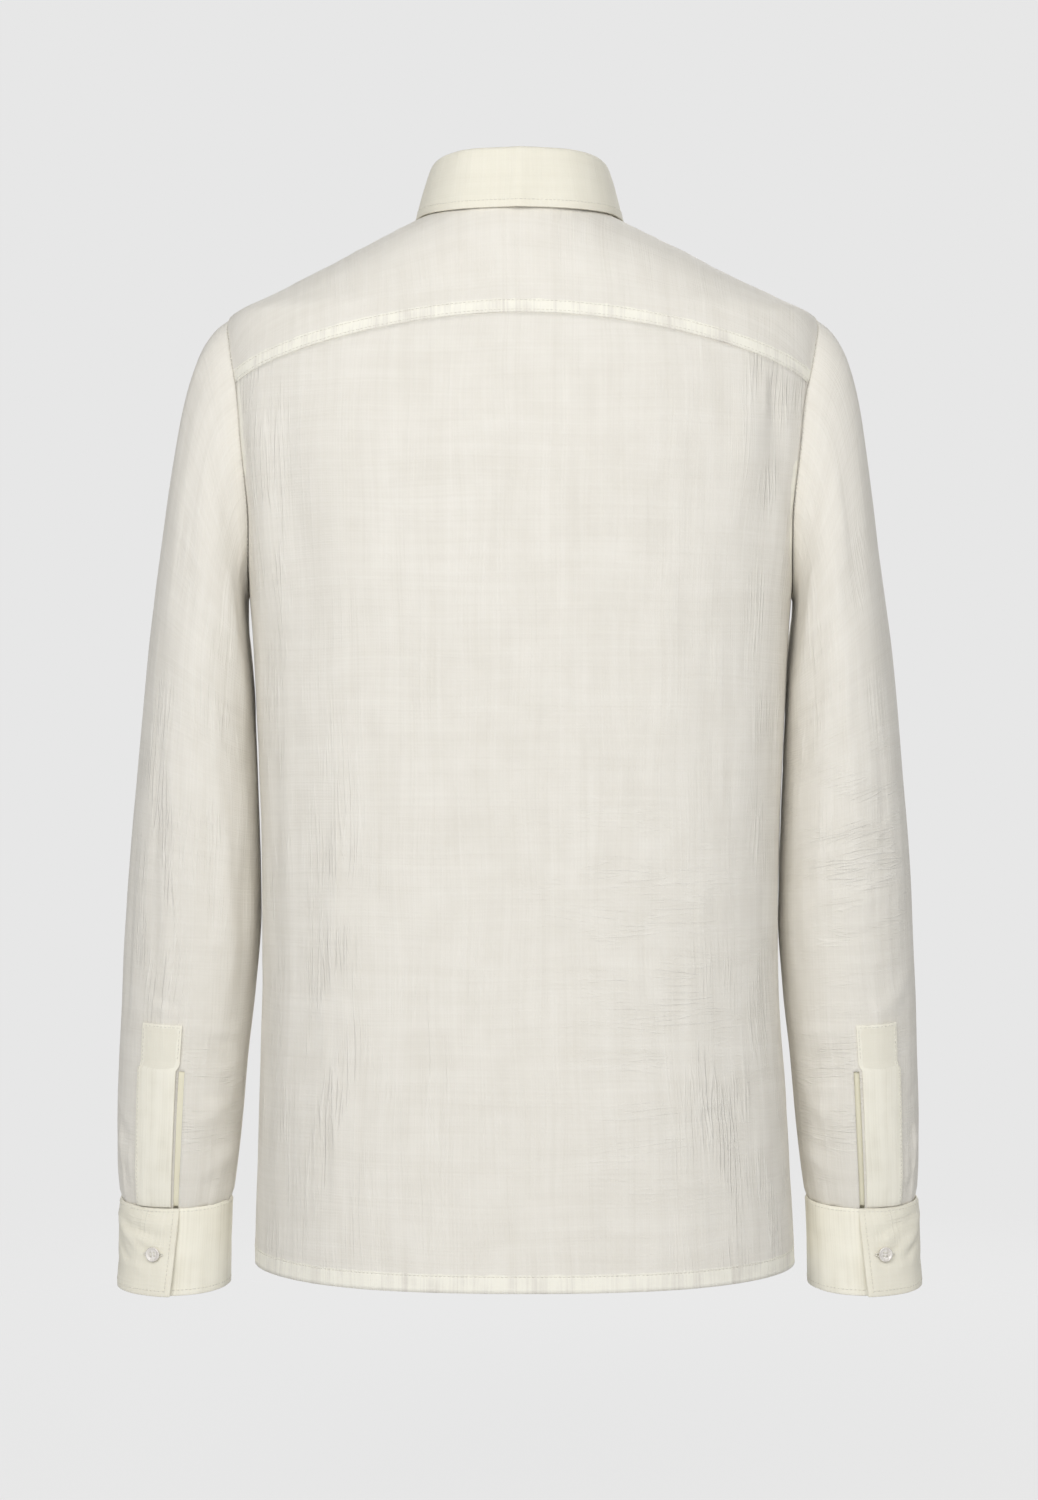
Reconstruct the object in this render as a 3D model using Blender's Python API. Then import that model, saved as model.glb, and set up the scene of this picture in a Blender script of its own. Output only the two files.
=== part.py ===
"""Long-sleeved gauze shirt, filled out as if worn but empty inside.

Sizes are in millimetres and turn into metres when a mesh is made. +Z is up, the wearer faces -Y,
and the wearer's left side is +X. The origin is the middle of the neck opening, level with the
neck seam at the shoulders.

The body cloth is one surface in chart form. "Across" runs from the centre back, 0, round the
wearer's left side seam, 0.5, to the centre front, 1, and the right half has negative values.
"Height" names a loop round the body by its height at the side. Panels are cut out of that chart
by their seam lines, and every cloth piece is a grid on its surface, thickened to a wall.
"""
from math import pi, sin
from typing import NamedTuple

import bmesh
import bpy
import numpy as np
from mathutils import Vector

MM = 0.001

# Cloth
CLOTH = 1.3            # wall of one layer of double gauze, crinkle included
DOUBLED = 2.0          # wall of cuffs and collar, cloth and interlining
STRIP = 1.2            # wall of the sleeve plackets
SEAM_GAP = 0.34        # between the edges of two pieces at a seam
LAP_GAP = 0.5          # between a panel and what lies on it

# Body, in heights at the side
HEM = -724.0
UNDERARM = -266.0
SHOULDER_TIP = -73.0
NECK = -4.0
ARMHOLE_MIDDLE = (SHOULDER_TIP + UNDERARM) / 2
ARMHOLE_REACH = (SHOULDER_TIP - UNDERARM) / 2
ARMHOLE_INSET = 0.088  # how far the armhole cuts into back and front, in shares of half the loop
BACK_CORNER = 60       # degrees down the armhole from the shoulder tip to the back yoke seam
FRONT_CORNER = 30      # and to the front yoke seam
YOKE_DROP = 41.5       # the back yoke seam is this much lower at the armholes than in the middle
NECK_CORNER = 0.62     # where the front yoke seam meets the neck, in shares of half the loop
BACK_NECK = 0.42       # share of half the neck edge that lies above the back yoke seam
FRONT_LAP = 15.0       # each front passes the centre by this much
LAP_SPREAD = 70.0      # the lap eases out over this width


class Ring(NamedTuple):
    """One loop round the body: half its width, its depths and how square it is."""
    height: float
    half_width: float
    front: float
    back: float
    squareness: float
    front_dip: float    # how much lower the loop runs at the centre front
    side_rise: float    # and how much higher at the sides


BODY_RINGS = (
    Ring(-724, 185.0, 120, 127, 2.25, 0, 3),
    Ring(-611, 180.6, 119, 121, 2.35, 0, 0),
    Ring(-520, 176.6, 120, 115, 2.45, 0, 0),
    Ring(-450, 177.2, 121, 112, 2.50, 0, 0),
    Ring(-350, 181.0, 124, 110, 2.50, 0, 0),
    Ring(-266, 185.8, 123, 109, 2.45, 0, 0),
    Ring(-218, 190.5, 118, 107, 2.40, 2, 0),
    Ring(-160, 200.0, 109, 103, 2.35, 9, 0),
    Ring(-122, 203.5, 100, 98, 2.28, 20, 0),
    Ring(-100, 205.5, 94, 94, 2.20, 30, 0),
    Ring(-85, 205.0, 90, 90, 2.15, 36, 0),
    Ring(-73, 201.0, 86, 87, 2.10, 41, 0),
    Ring(-60, 177.0, 81, 83, 2.08, 46, 0),
    Ring(-40, 136.0, 75, 78, 2.05, 51, 0),
    Ring(-20, 96.0, 70, 71, 2.05, 55, 0),
    Ring(-4, 64.0, 66, 64, 2.05, 58, 0),
)


class Sway(NamedTuple):
    """How far body and sleeves stand off the middle at one height, to the wearer's right."""
    z: float
    body: float
    sleeve: float


SWAYS = (
    Sway(-740, 4.6, 0.0),
    Sway(-611, 2.8, 0.0),
    Sway(-520, 1.4, 0.3),
    Sway(-450, 0.9, 0.6),
    Sway(-266, 0.9, 0.9),
    Sway(-160, 1.5, 1.5),
    Sway(-100, 2.4, 2.4),
    Sway(-73, 2.7, 2.7),
    Sway(-40, 1.4, 1.4),
    Sway(-15, 0.3, 0.3),
    Sway(40, 0.2, 0.2),
)


class SleeveRing(NamedTuple):
    """One loop of the sleeve, across from its outer to its inner side."""
    outer_x: float
    outer_z: float
    inner_x: float
    inner_z: float
    middle_y: float
    half_depth: float
    back_drop: float    # how much lower the loop runs at its back than in the middle


SLEEVE_RINGS = (
    SleeveRing(201.0, -73, 186.0, -266, 2, 46, 0),
    SleeveRing(211.5, -82, 187.2, -269, 2, 49, 0),
    SleeveRing(221.5, -98, 187.4, -273, 1, 52, 0),
    SleeveRing(230.0, -126, 187.2, -280, 0, 55, 0),
    SleeveRing(237.2, -168, 186.6, -290, 0, 58, 0),
    SleeveRing(244.0, -215, 185.6, -306, -1, 60, 0),
    SleeveRing(251.5, -268, 184.3, -330, -2, 60, 0),
    SleeveRing(259.2, -335, 182.5, -372, -4, 59, 0),
    SleeveRing(265.5, -405, 180.6, -428, -6, 57, 0),
    SleeveRing(270.4, -475, 179.6, -485, -8, 54, 1),
    SleeveRing(273.4, -530, 181.0, -535, -10, 51, 2),
    SleeveRing(275.4, -580, 189.2, -582, -11, 47, 3),
    SleeveRing(276.6, -625, 194.2, -626, -12, 43, 4),
    SleeveRing(276.8, -655, 197.0, -655, -13, 38, 4.5),
    SleeveRing(275.8, -678.5, 199.0, -678.5, -14, 33, 4.6),
)
CUFF_TOP = -679.0
CUFF_BOTTOM = -738.5
CUFF_RINGS = (
    SleeveRing(275.8, CUFF_TOP, 199.0, CUFF_TOP, -14, 33, 4.6),
    SleeveRing(277.4, CUFF_BOTTOM, 200.6, CUFF_BOTTOM, -14, 33.5, 4.8),
)
CUFF_START = 62        # degrees from the outer side, towards the back, where the under end starts
CUFF_END_TOP = 458     # and where the lapped end stops, once round, at its upper corner
CUFF_END_BOTTOM = 451  # and at its lower one
CUFF_LIFT = 2.6        # the lapped end lies this much outside the under end
CUFF_LIFT_TURN = 347   # it lifts off from here
CUFF_LIFT_SPAN = 65    # within this many degrees
CUFF_FLARE = 2.2       # its lower corner stands out by this much more
CUFF_FLARE_TURN = 425
CUFF_FLARE_SPAN = 30
ARMHOLE_BLEND = 0.30   # share of the sleeve over which it takes its own shape from the armhole
SLEEVE_OFF_TOP = 0.45  # the sleeve starts this far outside the armhole seam at the shoulder tip
SLEEVE_OFF_UNDER = 2.1  # and this far at the underarm, where it turns down beside the body
SLEEVE_TURN = 0.95     # length of one degree round the sleeve
SLEEVE_LENGTH = 600.0  # for its folds

# Wrist opening
SLIT_TURN = 94         # degrees from the outer side towards the back
SLIT_HALF = 2.6        # half of its width, in degrees
SLIT_TOP = 0.825       # share of the sleeve's length where it starts
PLACKET_TURNS = (54, 91)
PLACKET_TOP = 0.767
UNDERLAP_TURNS = (88, 103)
UNDERLAP_GAP = 1.2     # inside the sleeve's wall
STRIP_END = 0.996      # the strips stop just above the cuff

# Collar
STAND_RISE = 1.5       # from the neck edge of the body to the stand's lower edge
STAND_SET_IN = 0.9     # and inside it
STAND_IN = 3.4         # its upper edge lies this much inside the fall's fold line
STAND_DOWN = 3.2       # and this much below it
STAND_END = 1.055      # its ends pass the centre front, in shares of half the loop
STAND_LAP = 0.78       # from this share on, one end eases over the other
FALL_END = 0.96        # where the fall's front edges stand
ROLL_IN = 3.2          # the fall rolls over its fold line by this much
ROLL_DOWN = 1.2
FALL_BULGE = 1.0       # the fall stands out in the middle of its height


class CollarPost(NamedTuple):
    """The fall's fold line and lower edge at one place round the neck, left side."""
    across: float
    fold_x: float
    fold_y: float
    fold_z: float
    edge_x: float
    edge_y: float
    edge_z: float


COLLAR_POSTS = (
    CollarPost(0.00, 0.0, 58.5, 34.8, 0.0, 71.0, -6.5),
    CollarPost(0.18, 33.0, 49.5, 34.6, 37.0, 60.5, -6.4),
    CollarPost(0.35, 53.5, 27.0, 32.8, 61.8, 34.0, -5.4),
    CollarPost(0.50, 60.0, 0.0, 28.5, 70.0, 1.0, -4.2),
    CollarPost(0.57, 59.5, -13.0, 24.0, 71.6, -15.0, -7.6),
    CollarPost(0.64, 57.0, -27.0, 16.5, 72.0, -32.0, -18.5),
    CollarPost(0.80, 39.0, -52.0, -5.0, 64.0, -67.0, -62.0),
    CollarPost(0.96, 8.5, -66.0, -26.0, 46.0, -89.0, -104.0),
    CollarPost(1.00, 0.0, -66.5, -28.0, 36.0, -90.0, -106.0),
    CollarPost(1.06, -12.0, -65.5, -27.0, 24.0, -90.0, -106.0),
)


class Fold(NamedTuple):
    """One soft ridge, or trough where its rise is negative, on the body's back or front."""
    face: int           # 1 is the back, -1 the front
    top_x: float
    top_z: float
    end_x: float
    end_z: float
    rise: float
    spread: float


FOLD_HOLD = 0.035      # the folds fade out this near a side seam or armhole, as shares of half a loop
BODY_FOLDS = (
    Fold(1, 184, -122, 160, -285, 3.2, 13),
    Fold(1, 158, -140, 140, -330, -2.0, 14),
    Fold(1, -171, -112, -172, -185, -2.6, 7),
    Fold(1, -151, -130, -150, -215, 1.8, 11),
    Fold(1, -176, -190, -172, -262, 2.0, 8),
    Fold(1, 118, -420, 128, -700, 1.6, 16),
    Fold(1, -132, -470, -140, -690, -1.8, 16),
    Fold(1, 30, -380, 24, -690, 1.2, 22),
    Fold(1, -45, -480, -50, -700, 1.3, 20),
    Fold(-1, 150, -175, 118, -330, 3.0, 13),
    Fold(-1, -148, -180, -112, -345, 3.0, 14),
    Fold(-1, 96, -420, 104, -700, 1.8, 18),
    Fold(-1, -90, -430, -100, -705, 1.9, 18),
    Fold(-1, 52, -130, 66, -300, -1.4, 14),
)


class SleeveFold(NamedTuple):
    """One soft ridge or trough on a sleeve, between two places on it."""
    turn: float
    share: float
    end_turn: float
    end_share: float
    rise: float
    spread: float


SLEEVE_FOLDS = (
    SleeveFold(120, 0.12, 150, 0.34, 2.6, 12),
    SleeveFold(230, 0.12, 205, 0.32, 2.6, 12),
    SleeveFold(60, 0.10, 78, 0.30, -1.6, 14),
    SleeveFold(150, 0.86, 100, 0.90, 1.6, 9),
    SleeveFold(170, 0.93, 115, 0.955, 1.6, 8),
    SleeveFold(20, 0.90, 45, 0.965, 1.8, 8),
    SleeveFold(225, 0.55, 290, 0.60, -2.0, 10),
    SleeveFold(220, 0.63, 285, 0.66, -2.0, 9),
)

# Buttons
BUTTON_RADIUS = 5.0
BUTTON_THICK = 2.2
BUTTON_RIM = 1.1
BUTTON_DISH = 0.5
BUTTON_SEAT = 0.35     # from the cloth to the button's back
BUTTON_SIDES = 16
FRONT_BUTTONS = 6
FIRST_BUTTON = -140.0
BUTTON_PITCH = 88.0
CUFF_BUTTON_TURN = 74
CUFF_BUTTON_DROP = 0.52  # share of the cuff's height

# Grids
BACK_COLUMNS = 18
SIDE_ROWS = 13
ARMHOLE_STEP = 15      # degrees
YOKE_ROWS = 6
FRONT_COLUMNS = 11     # as many more than at the neck as the yoke has rows
SLEEVE_ROWS = 22
SLIT_ROWS = 5
CUFF_COLUMNS = 24
CUFF_ROWS = 4
STAND_COLUMNS = 26
FALL_COLUMNS = 26
FALL_ROWS = 5

# Colours
GAUZE_COLOUR = (0.78, 0.76, 0.70)
DOUBLED_COLOUR = (0.86, 0.83, 0.73)
BUTTON_COLOUR = (0.85, 0.83, 0.80)


def clear_scene():
    """Remove whatever the file opens with."""
    for thing in list(bpy.data.objects):
        bpy.data.objects.remove(thing, do_unlink=True)


def smooth_step(value):
    """Ease from 0 to 1."""
    value = np.clip(value, 0.0, 1.0)
    return value * value * (3 - 2 * value)


def read_curve(keys, values, at):
    """Read a smooth curve through the points that never overshoots them."""
    keys, values = np.asarray(keys, float), np.asarray(values, float)
    at = np.clip(np.asarray(at, float), keys[0], keys[-1])
    steps = np.diff(keys)
    slopes = np.diff(values) / steps
    product = slopes[:-1] * slopes[1:]
    total = slopes[:-1] + slopes[1:]
    inner = np.where(product > 0, 2 * product / np.where(total == 0, 1, total), 0.0)
    tangents = np.concatenate(([slopes[0]], inner, [slopes[-1]]))
    index = np.clip(np.searchsorted(keys, at, side="right") - 1, 0, len(steps) - 1)
    step = steps[index]
    u = (at - keys[index]) / step
    start, end = values[index], values[index + 1]
    return ((1 + 2 * u) * (1 - u) ** 2 * start + u * (1 - u) ** 2 * step * tangents[index]
            + u * u * (3 - 2 * u) * end + u * u * (u - 1) * step * tangents[index + 1])


def unit(vectors):
    """The same directions, one long."""
    return vectors / np.linalg.norm(vectors, axis=-1, keepdims=True)


def read_rings(rings, key, name, at):
    """Read one column of a table of rings against another."""
    return read_curve([getattr(ring, key) for ring in rings],
                      [getattr(ring, name) for ring in rings], at)


def body_size(name, height):
    """One size of the body's loops at some heights."""
    return read_rings(BODY_RINGS, "height", name, height)


def quarter_angle(share, wide, deep, power):
    """Angle at which a share of a quarter loop's length is reached, counted from its deep end."""
    fine = np.linspace(0.0, 1.0, 49)
    angles = (pi / 2) * smooth_step(fine)
    x = wide[..., None] * np.sin(angles) ** power[..., None]
    y = deep[..., None] * np.cos(angles) ** power[..., None]
    lengths = np.cumsum(np.hypot(np.diff(x, axis=-1), np.diff(y, axis=-1)), axis=-1)
    lengths = np.concatenate((np.zeros(lengths.shape[:-1] + (1,)), lengths), axis=-1)
    lengths /= lengths[..., -1:]
    flat_share, flat_lengths = share.ravel(), lengths.reshape(-1, len(fine))
    found = [np.interp(one, row, angles) for one, row in zip(flat_share, flat_lengths)]
    return np.array(found).reshape(share.shape)


def body_point(across, height):
    """Place of the body cloth, without its folds."""
    across, height = np.broadcast_arrays(np.asarray(across, float), np.asarray(height, float))
    side = np.sign(across)
    share = np.abs(across)
    behind = share <= 0.5
    wide = body_size("half_width", height)
    deep = np.where(behind, body_size("back", height), body_size("front", height))
    power = 2 / body_size("squareness", height)
    from_end = np.where(behind, share * 2, (1 - share) * 2)
    past_centre = from_end < 0
    angle = quarter_angle(np.abs(from_end), wide, deep, power)
    x = wide * np.sin(angle) ** power * np.where(past_centre, -1, 1) * side
    depth_share = np.cos(angle) ** power
    y = deep * depth_share * np.where(behind, 1, -1)
    dip = np.where(behind, 0.0, body_size("front_dip", height) * np.cos(angle) ** 2)
    rise = body_size("side_rise", height) * np.sin(angle) ** 4
    return np.stack((x, y, height - dip + rise), axis=-1)


def body_normal(across, height):
    """Outward direction of the body cloth."""
    d_across = body_point(across + 0.004, height) - body_point(across - 0.004, height)
    d_height = body_point(across, height + 1.5) - body_point(across, height - 1.5)
    return unit(np.cross(d_height, d_across))


def bump(distance_x, distance_z, fold, dx, dz):
    """Height of one fold at places given by how far they lie from its top."""
    length = dx * dx + dz * dz
    along = (distance_x * dx + distance_z * dz) / length
    held = np.clip(along, 0, 1)
    miss = np.hypot(distance_x - held * dx, distance_z - held * dz)
    taper = np.sin(np.clip(0.08 + along * 0.84, 0, 1) * pi)
    return fold.rise * np.exp(-(miss / fold.spread) ** 2) * taper


def body_folds(points):
    """Height of the body's folds at some places."""
    total = np.zeros(points.shape[:-1])
    for fold in BODY_FOLDS:
        facing = smooth_step(points[..., 1] * fold.face / 20)
        total += facing * bump(points[..., 0] - fold.top_x, points[..., 2] - fold.top_z, fold,
                               fold.end_x - fold.top_x, fold.end_z - fold.top_z)
    return total


def front_lap(points, side):
    """How far the front's edge is moved out, or in, where one front laps over the other."""
    from_centre = points[..., 0] * side + FRONT_LAP
    ease = 1 - smooth_step((from_centre - 2 * FRONT_LAP) / LAP_SPREAD)
    return -side * ease * (CLOTH + LAP_GAP) / 2


def seam_hold(across, height):
    """Share of a fold that is left near the side seams and armholes, where the cloth is held."""
    up = np.clip((height - ARMHOLE_MIDDLE) / ARMHOLE_REACH, -1, 1)
    inset = ARMHOLE_INSET * np.sqrt(1 - up * up)
    return smooth_step((np.abs(np.abs(across) - 0.5) - inset) / FOLD_HOLD)


def body_cloth(across, height, lap_side=0, out=0.0):
    """Place of the body cloth with its folds, moved out by some distance."""
    points = body_point(across, height)
    lift = body_folds(points) * seam_hold(across, height) + out
    if lap_side:
        lift = lift + front_lap(points, lap_side)
    return points + body_normal(across, height) * lift[..., None]


def armhole_chart(turn, behind):
    """Chart place of the armhole, by degrees from the shoulder tip, on the wearer's left."""
    height = ARMHOLE_MIDDLE + ARMHOLE_REACH * np.cos(np.radians(turn))
    inset = ARMHOLE_INSET * np.sin(np.radians(turn))
    return np.stack((0.5 - inset if behind else 0.5 + inset, height), axis=-1)


def yoke_seam_chart(share):
    """Chart place of the back yoke seam, from the centre, 0, to the left armhole, 1."""
    corner = armhole_chart(BACK_CORNER, True)
    return np.stack((corner[0] * share, corner[1] + YOKE_DROP * (1 - share ** 1.9)), axis=-1)


def side_chart(turns, behind):
    """Chart places up the side seam and then the armhole, one for each row of a panel."""
    seam = np.linspace(HEM, UNDERARM, SIDE_ROWS + 1)[:-1]
    side = np.stack((np.full(len(seam), 0.5), seam), axis=-1)
    return np.concatenate((side, armhole_chart(turns, behind)))


def coons(start, end, bottom, top):
    """Fill four rows of chart places that share their corners; start and end run upwards."""
    s = np.linspace(0, 1, len(bottom))[:, None, None]
    t = np.linspace(0, 1, len(start))[None, :, None] ** 3
    bend = top - ((1 - s[:, 0]) * top[0] + s[:, 0] * top[-1])
    sag = bottom - ((1 - s[:, 0]) * bottom[0] + s[:, 0] * bottom[-1])
    return (1 - s) * start[None] + s * end[None] + (1 - t) * sag[:, None] + t * bend[:, None]


def pull_edges(points):
    """Draw a grid's four edges back by half a seam gap."""
    points = points.copy()
    for edge, inner in ((0, 1), (-1, -2)):
        points[edge] += unit(points[inner] - points[edge]) * SEAM_GAP / 2
        points[:, edge] += unit(points[:, inner] - points[:, edge]) * SEAM_GAP / 2
    return points


def make_material(name, colour, roughness):
    """A plain finish."""
    material = bpy.data.materials.new(name)
    material.use_nodes = True
    shader = material.node_tree.nodes["Principled BSDF"]
    shader.inputs["Base Color"].default_value = (*colour, 1)
    shader.inputs["Roughness"].default_value = roughness
    shader.inputs["Metallic"].default_value = 0.0
    return material


def add_object(name, mesh, material):
    """Put a mesh in the scene as one named sub-part."""
    mesh.materials.append(material)
    thing = bpy.data.objects.new(name, mesh)
    bpy.context.scene.collection.objects.link(thing)
    return thing


def make_cloth(name, points, wall, material, sway="body", mirrored=False, round_about=False,
               left_out=None):
    """Make a cloth piece of a grid of places, as a wall with half its thickness on each side.

    The grid's second direction crossed with its first points outwards. A mirrored piece is the
    same on the wearer's right. A grid that goes round about joins its last column to its first.
    left_out says which cells stay open.
    """
    columns, rows = points.shape[:2]
    places = points * ((-1, 1, 1) if mirrored else (1, 1, 1))
    places[..., 0] -= read_rings(SWAYS, "z", sway, places[..., 2])
    mesh = bmesh.new()
    grid = [[mesh.verts.new(place * MM) for place in column] for column in places]
    for i in range(columns if round_about else columns - 1):
        for j in range(rows - 1):
            if left_out and left_out(i, j):
                continue
            near, far = grid[i], grid[(i + 1) % columns]
            corners = (near[j], near[j + 1], far[j + 1], far[j])
            mesh.faces.new(reversed(corners) if mirrored else corners)
    loose = [vert for vert in mesh.verts if not vert.link_faces]
    bmesh.ops.delete(mesh, geom=loose, context="VERTS")
    data = bpy.data.meshes.new(name)
    mesh.to_mesh(data)
    mesh.free()
    data.shade_smooth()
    thing = add_object(name, data, material)
    solidify = thing.modifiers.new("Wall", "SOLIDIFY")
    solidify.thickness = wall * MM
    solidify.offset = 0.0
    solidify.use_quality_normals = True
    return thing


def make_button(name, middle, axis, material, sway="body", mirrored=False):
    """A sewn button with a raised rim, its middle and outward axis given."""
    place = np.array(middle) * ((-1, 1, 1) if mirrored else (1, 1, 1))
    place[0] -= read_rings(SWAYS, "z", sway, place[2])
    direction = Vector(np.array(axis) * ((-1, 1, 1) if mirrored else (1, 1, 1)))
    mesh = bmesh.new()
    bmesh.ops.create_cone(mesh, cap_ends=True, segments=BUTTON_SIDES, radius1=BUTTON_RADIUS * MM,
                          radius2=BUTTON_RADIUS * MM, depth=BUTTON_THICK * MM)
    face = max(mesh.faces, key=lambda one: one.calc_center_median().z)
    bmesh.ops.inset_individual(mesh, faces=[face], thickness=BUTTON_RIM * MM, depth=0)
    bmesh.ops.inset_individual(mesh, faces=[face], thickness=BUTTON_RIM * MM / 2,
                               depth=-BUTTON_DISH * MM)
    data = bpy.data.meshes.new(name)
    mesh.to_mesh(data)
    mesh.free()
    thing = add_object(name, data, material)
    thing.location = Vector(place * MM)
    thing.rotation_mode = "QUATERNION"
    thing.rotation_quaternion = direction.to_track_quat("Z", "Y")
    return thing


def back_grid():
    """The back panel, from the wearer's right edge to the left one."""
    turns = np.arange(180, BACK_CORNER - 1, -ARMHOLE_STEP)
    left = side_chart(turns, True)
    right = left * (-1, 1)
    share = np.linspace(-1, 1, BACK_COLUMNS + 1)
    top = np.stack((yoke_seam_chart(np.abs(share))[:, 0] * np.sign(share),
                    yoke_seam_chart(np.abs(share))[:, 1]), axis=-1)
    bottom = np.stack((share * 0.5, np.full(len(share), HEM)), axis=-1)
    chart = coons(right, left, bottom, top)
    return pull_edges(body_cloth(chart[..., 0], chart[..., 1]))


def front_grid(side):
    """One front panel, from the side seam to the lapped front edge; side is 1 for the left."""
    turns = np.arange(180, FRONT_CORNER - 1, -ARMHOLE_STEP)
    edge = side_chart(turns, False)
    past = FRONT_LAP / half_loop(HEM)
    neck_past = FRONT_LAP / half_loop(NECK)
    neck_columns = FRONT_COLUMNS - YOKE_ROWS
    corner = np.array((NECK_CORNER, NECK))
    seam = np.linspace(edge[-1], corner, FRONT_COLUMNS - neck_columns + 1)
    neck = np.stack((np.linspace(NECK_CORNER, 1 + neck_past, neck_columns + 1),
                     np.full(neck_columns + 1, NECK)), axis=-1)
    top = np.concatenate((seam[:-1], neck))
    bottom = np.stack((np.linspace(0.5, 1 + past, FRONT_COLUMNS + 1),
                       np.full(FRONT_COLUMNS + 1, HEM)), axis=-1)
    heights = np.concatenate((edge[:SIDE_ROWS, 1], np.linspace(UNDERARM, NECK, len(turns))))
    laps = np.array([1 + FRONT_LAP / half_loop(height) for height in heights])
    middle = np.stack((laps, heights), axis=-1)
    chart = coons(edge, middle, bottom, top)
    return pull_edges(body_cloth(chart[..., 0] * side, chart[..., 1], lap_side=side))[::side]


def half_loop(height):
    """Length of half the body's loop at a height."""
    points = body_point(np.linspace(0, 1, 41), height)
    return float(np.linalg.norm(np.diff(points, axis=0), axis=-1).sum())


def yoke_grid():
    """The yoke, from the right front seam round the back to the left one; rows run up to the neck."""
    turns = np.arange(BACK_CORNER, -FRONT_CORNER - 1, -ARMHOLE_STEP)
    armhole = np.array([armhole_chart(abs(turn), turn >= 0) for turn in turns])
    share = np.linspace(0, 1, BACK_COLUMNS // 2 + 1)
    half = np.concatenate((yoke_seam_chart(share), armhole[1:]))
    low = np.concatenate(((half * (-1, 1))[:0:-1], half))
    shoulder = np.linspace(BACK_NECK, NECK_CORNER, len(armhole))
    half_neck = np.concatenate((share * BACK_NECK, shoulder[1:]))
    across = np.concatenate((-half_neck[:0:-1], half_neck))
    high = np.stack((across, np.full(len(across), NECK)), axis=-1)
    rise = np.linspace(0, 1, YOKE_ROWS + 1)[None, :, None]
    chart = low[:, None] * (1 - rise) + high[:, None] * rise
    return pull_edges(body_cloth(chart[..., 0], chart[..., 1]))


def sleeve_stations():
    """How far along the sleeve each of its rings is, from 0 to 1."""
    ends = np.array([(ring.outer_x, ring.outer_z, ring.inner_x, ring.inner_z)
                     for ring in SLEEVE_RINGS])
    lengths = np.cumsum(np.linalg.norm(np.diff(ends, axis=0), axis=-1))
    return np.concatenate(([0.0], lengths / lengths[-1]))


def ring_point(rings, stations, turn, share, size=0.0):
    """Place on a tube of rings, without its folds, and made larger all round by size."""
    turn, share = np.broadcast_arrays(np.asarray(turn, float), np.asarray(share, float))
    read = {name: read_curve(stations, [getattr(ring, name) for ring in rings], share)
            for name in SleeveRing._fields}
    swing, lift = np.cos(np.radians(turn)), np.sin(np.radians(turn))
    width_x = (read["outer_x"] - read["inner_x"]) / 2
    width_z = (read["outer_z"] - read["inner_z"]) / 2
    grown = 1 + size / np.hypot(width_x, width_z)
    x = (read["outer_x"] + read["inner_x"]) / 2 + width_x * swing * grown
    z = (read["outer_z"] + read["inner_z"]) / 2 + width_z * swing - read["back_drop"] * lift
    y = read["middle_y"] + (read["half_depth"] + size) * lift
    return np.stack((x, y, z), axis=-1)


def armhole_point(turn):
    """Place on the armhole seam, moved out to where the sleeve starts."""
    turn = np.mod(turn, 360)
    behind = turn <= 180
    down = np.where(behind, turn, 360 - turn)
    chart = np.where(behind[..., None], armhole_chart(down, True), armhole_chart(down, False))
    seam = body_point(chart[..., 0], chart[..., 1])
    lower = (1 - np.cos(np.radians(down))) / 2
    seam[..., 0] += SLEEVE_OFF_TOP + (SLEEVE_OFF_UNDER - SLEEVE_OFF_TOP) * lower
    return seam


def sleeve_point(turn, share):
    """Place of the left sleeve's cloth, without its folds."""
    turn, share = np.broadcast_arrays(np.asarray(turn, float), np.asarray(share, float))
    stations = sleeve_stations()
    points = ring_point(SLEEVE_RINGS, stations, turn, share)
    start = ring_point(SLEEVE_RINGS, stations, turn, np.zeros_like(share))
    hold = (1 - smooth_step(share / ARMHOLE_BLEND))[..., None]
    return points + (armhole_point(turn) - start) * hold


def sleeve_cloth(turn, share, out=0.0):
    """Place of the left sleeve's cloth with its folds, moved out by some distance."""
    turn, share = np.broadcast_arrays(np.asarray(turn, float), np.asarray(share, float))
    points = sleeve_point(turn, share)
    d_turn = sleeve_point(turn + 1.0, share) - sleeve_point(turn - 1.0, share)
    d_share = sleeve_point(turn, share + 0.003) - sleeve_point(turn, share - 0.003)
    normal = unit(np.cross(d_share, d_turn))
    lift = np.full(share.shape, float(out))
    for fold in SLEEVE_FOLDS:
        away = np.mod(turn - fold.turn + 180, 360) - 180
        lift = lift + bump(away * SLEEVE_TURN, (share - fold.share) * SLEEVE_LENGTH, fold,
                           (fold.end_turn - fold.turn) * SLEEVE_TURN,
                           (fold.end_share - fold.share) * SLEEVE_LENGTH)
    return points + normal * lift[..., None]


def sleeve_turns():
    """Columns of the sleeve, with two close together on either side of the slit."""
    turns = list(range(0, 360, ARMHOLE_STEP))
    turns[turns.index(90)] = SLIT_TURN + SLIT_HALF
    turns.insert(turns.index(SLIT_TURN + SLIT_HALF), SLIT_TURN - SLIT_HALF)
    return np.array(sorted(turns), float)


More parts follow.
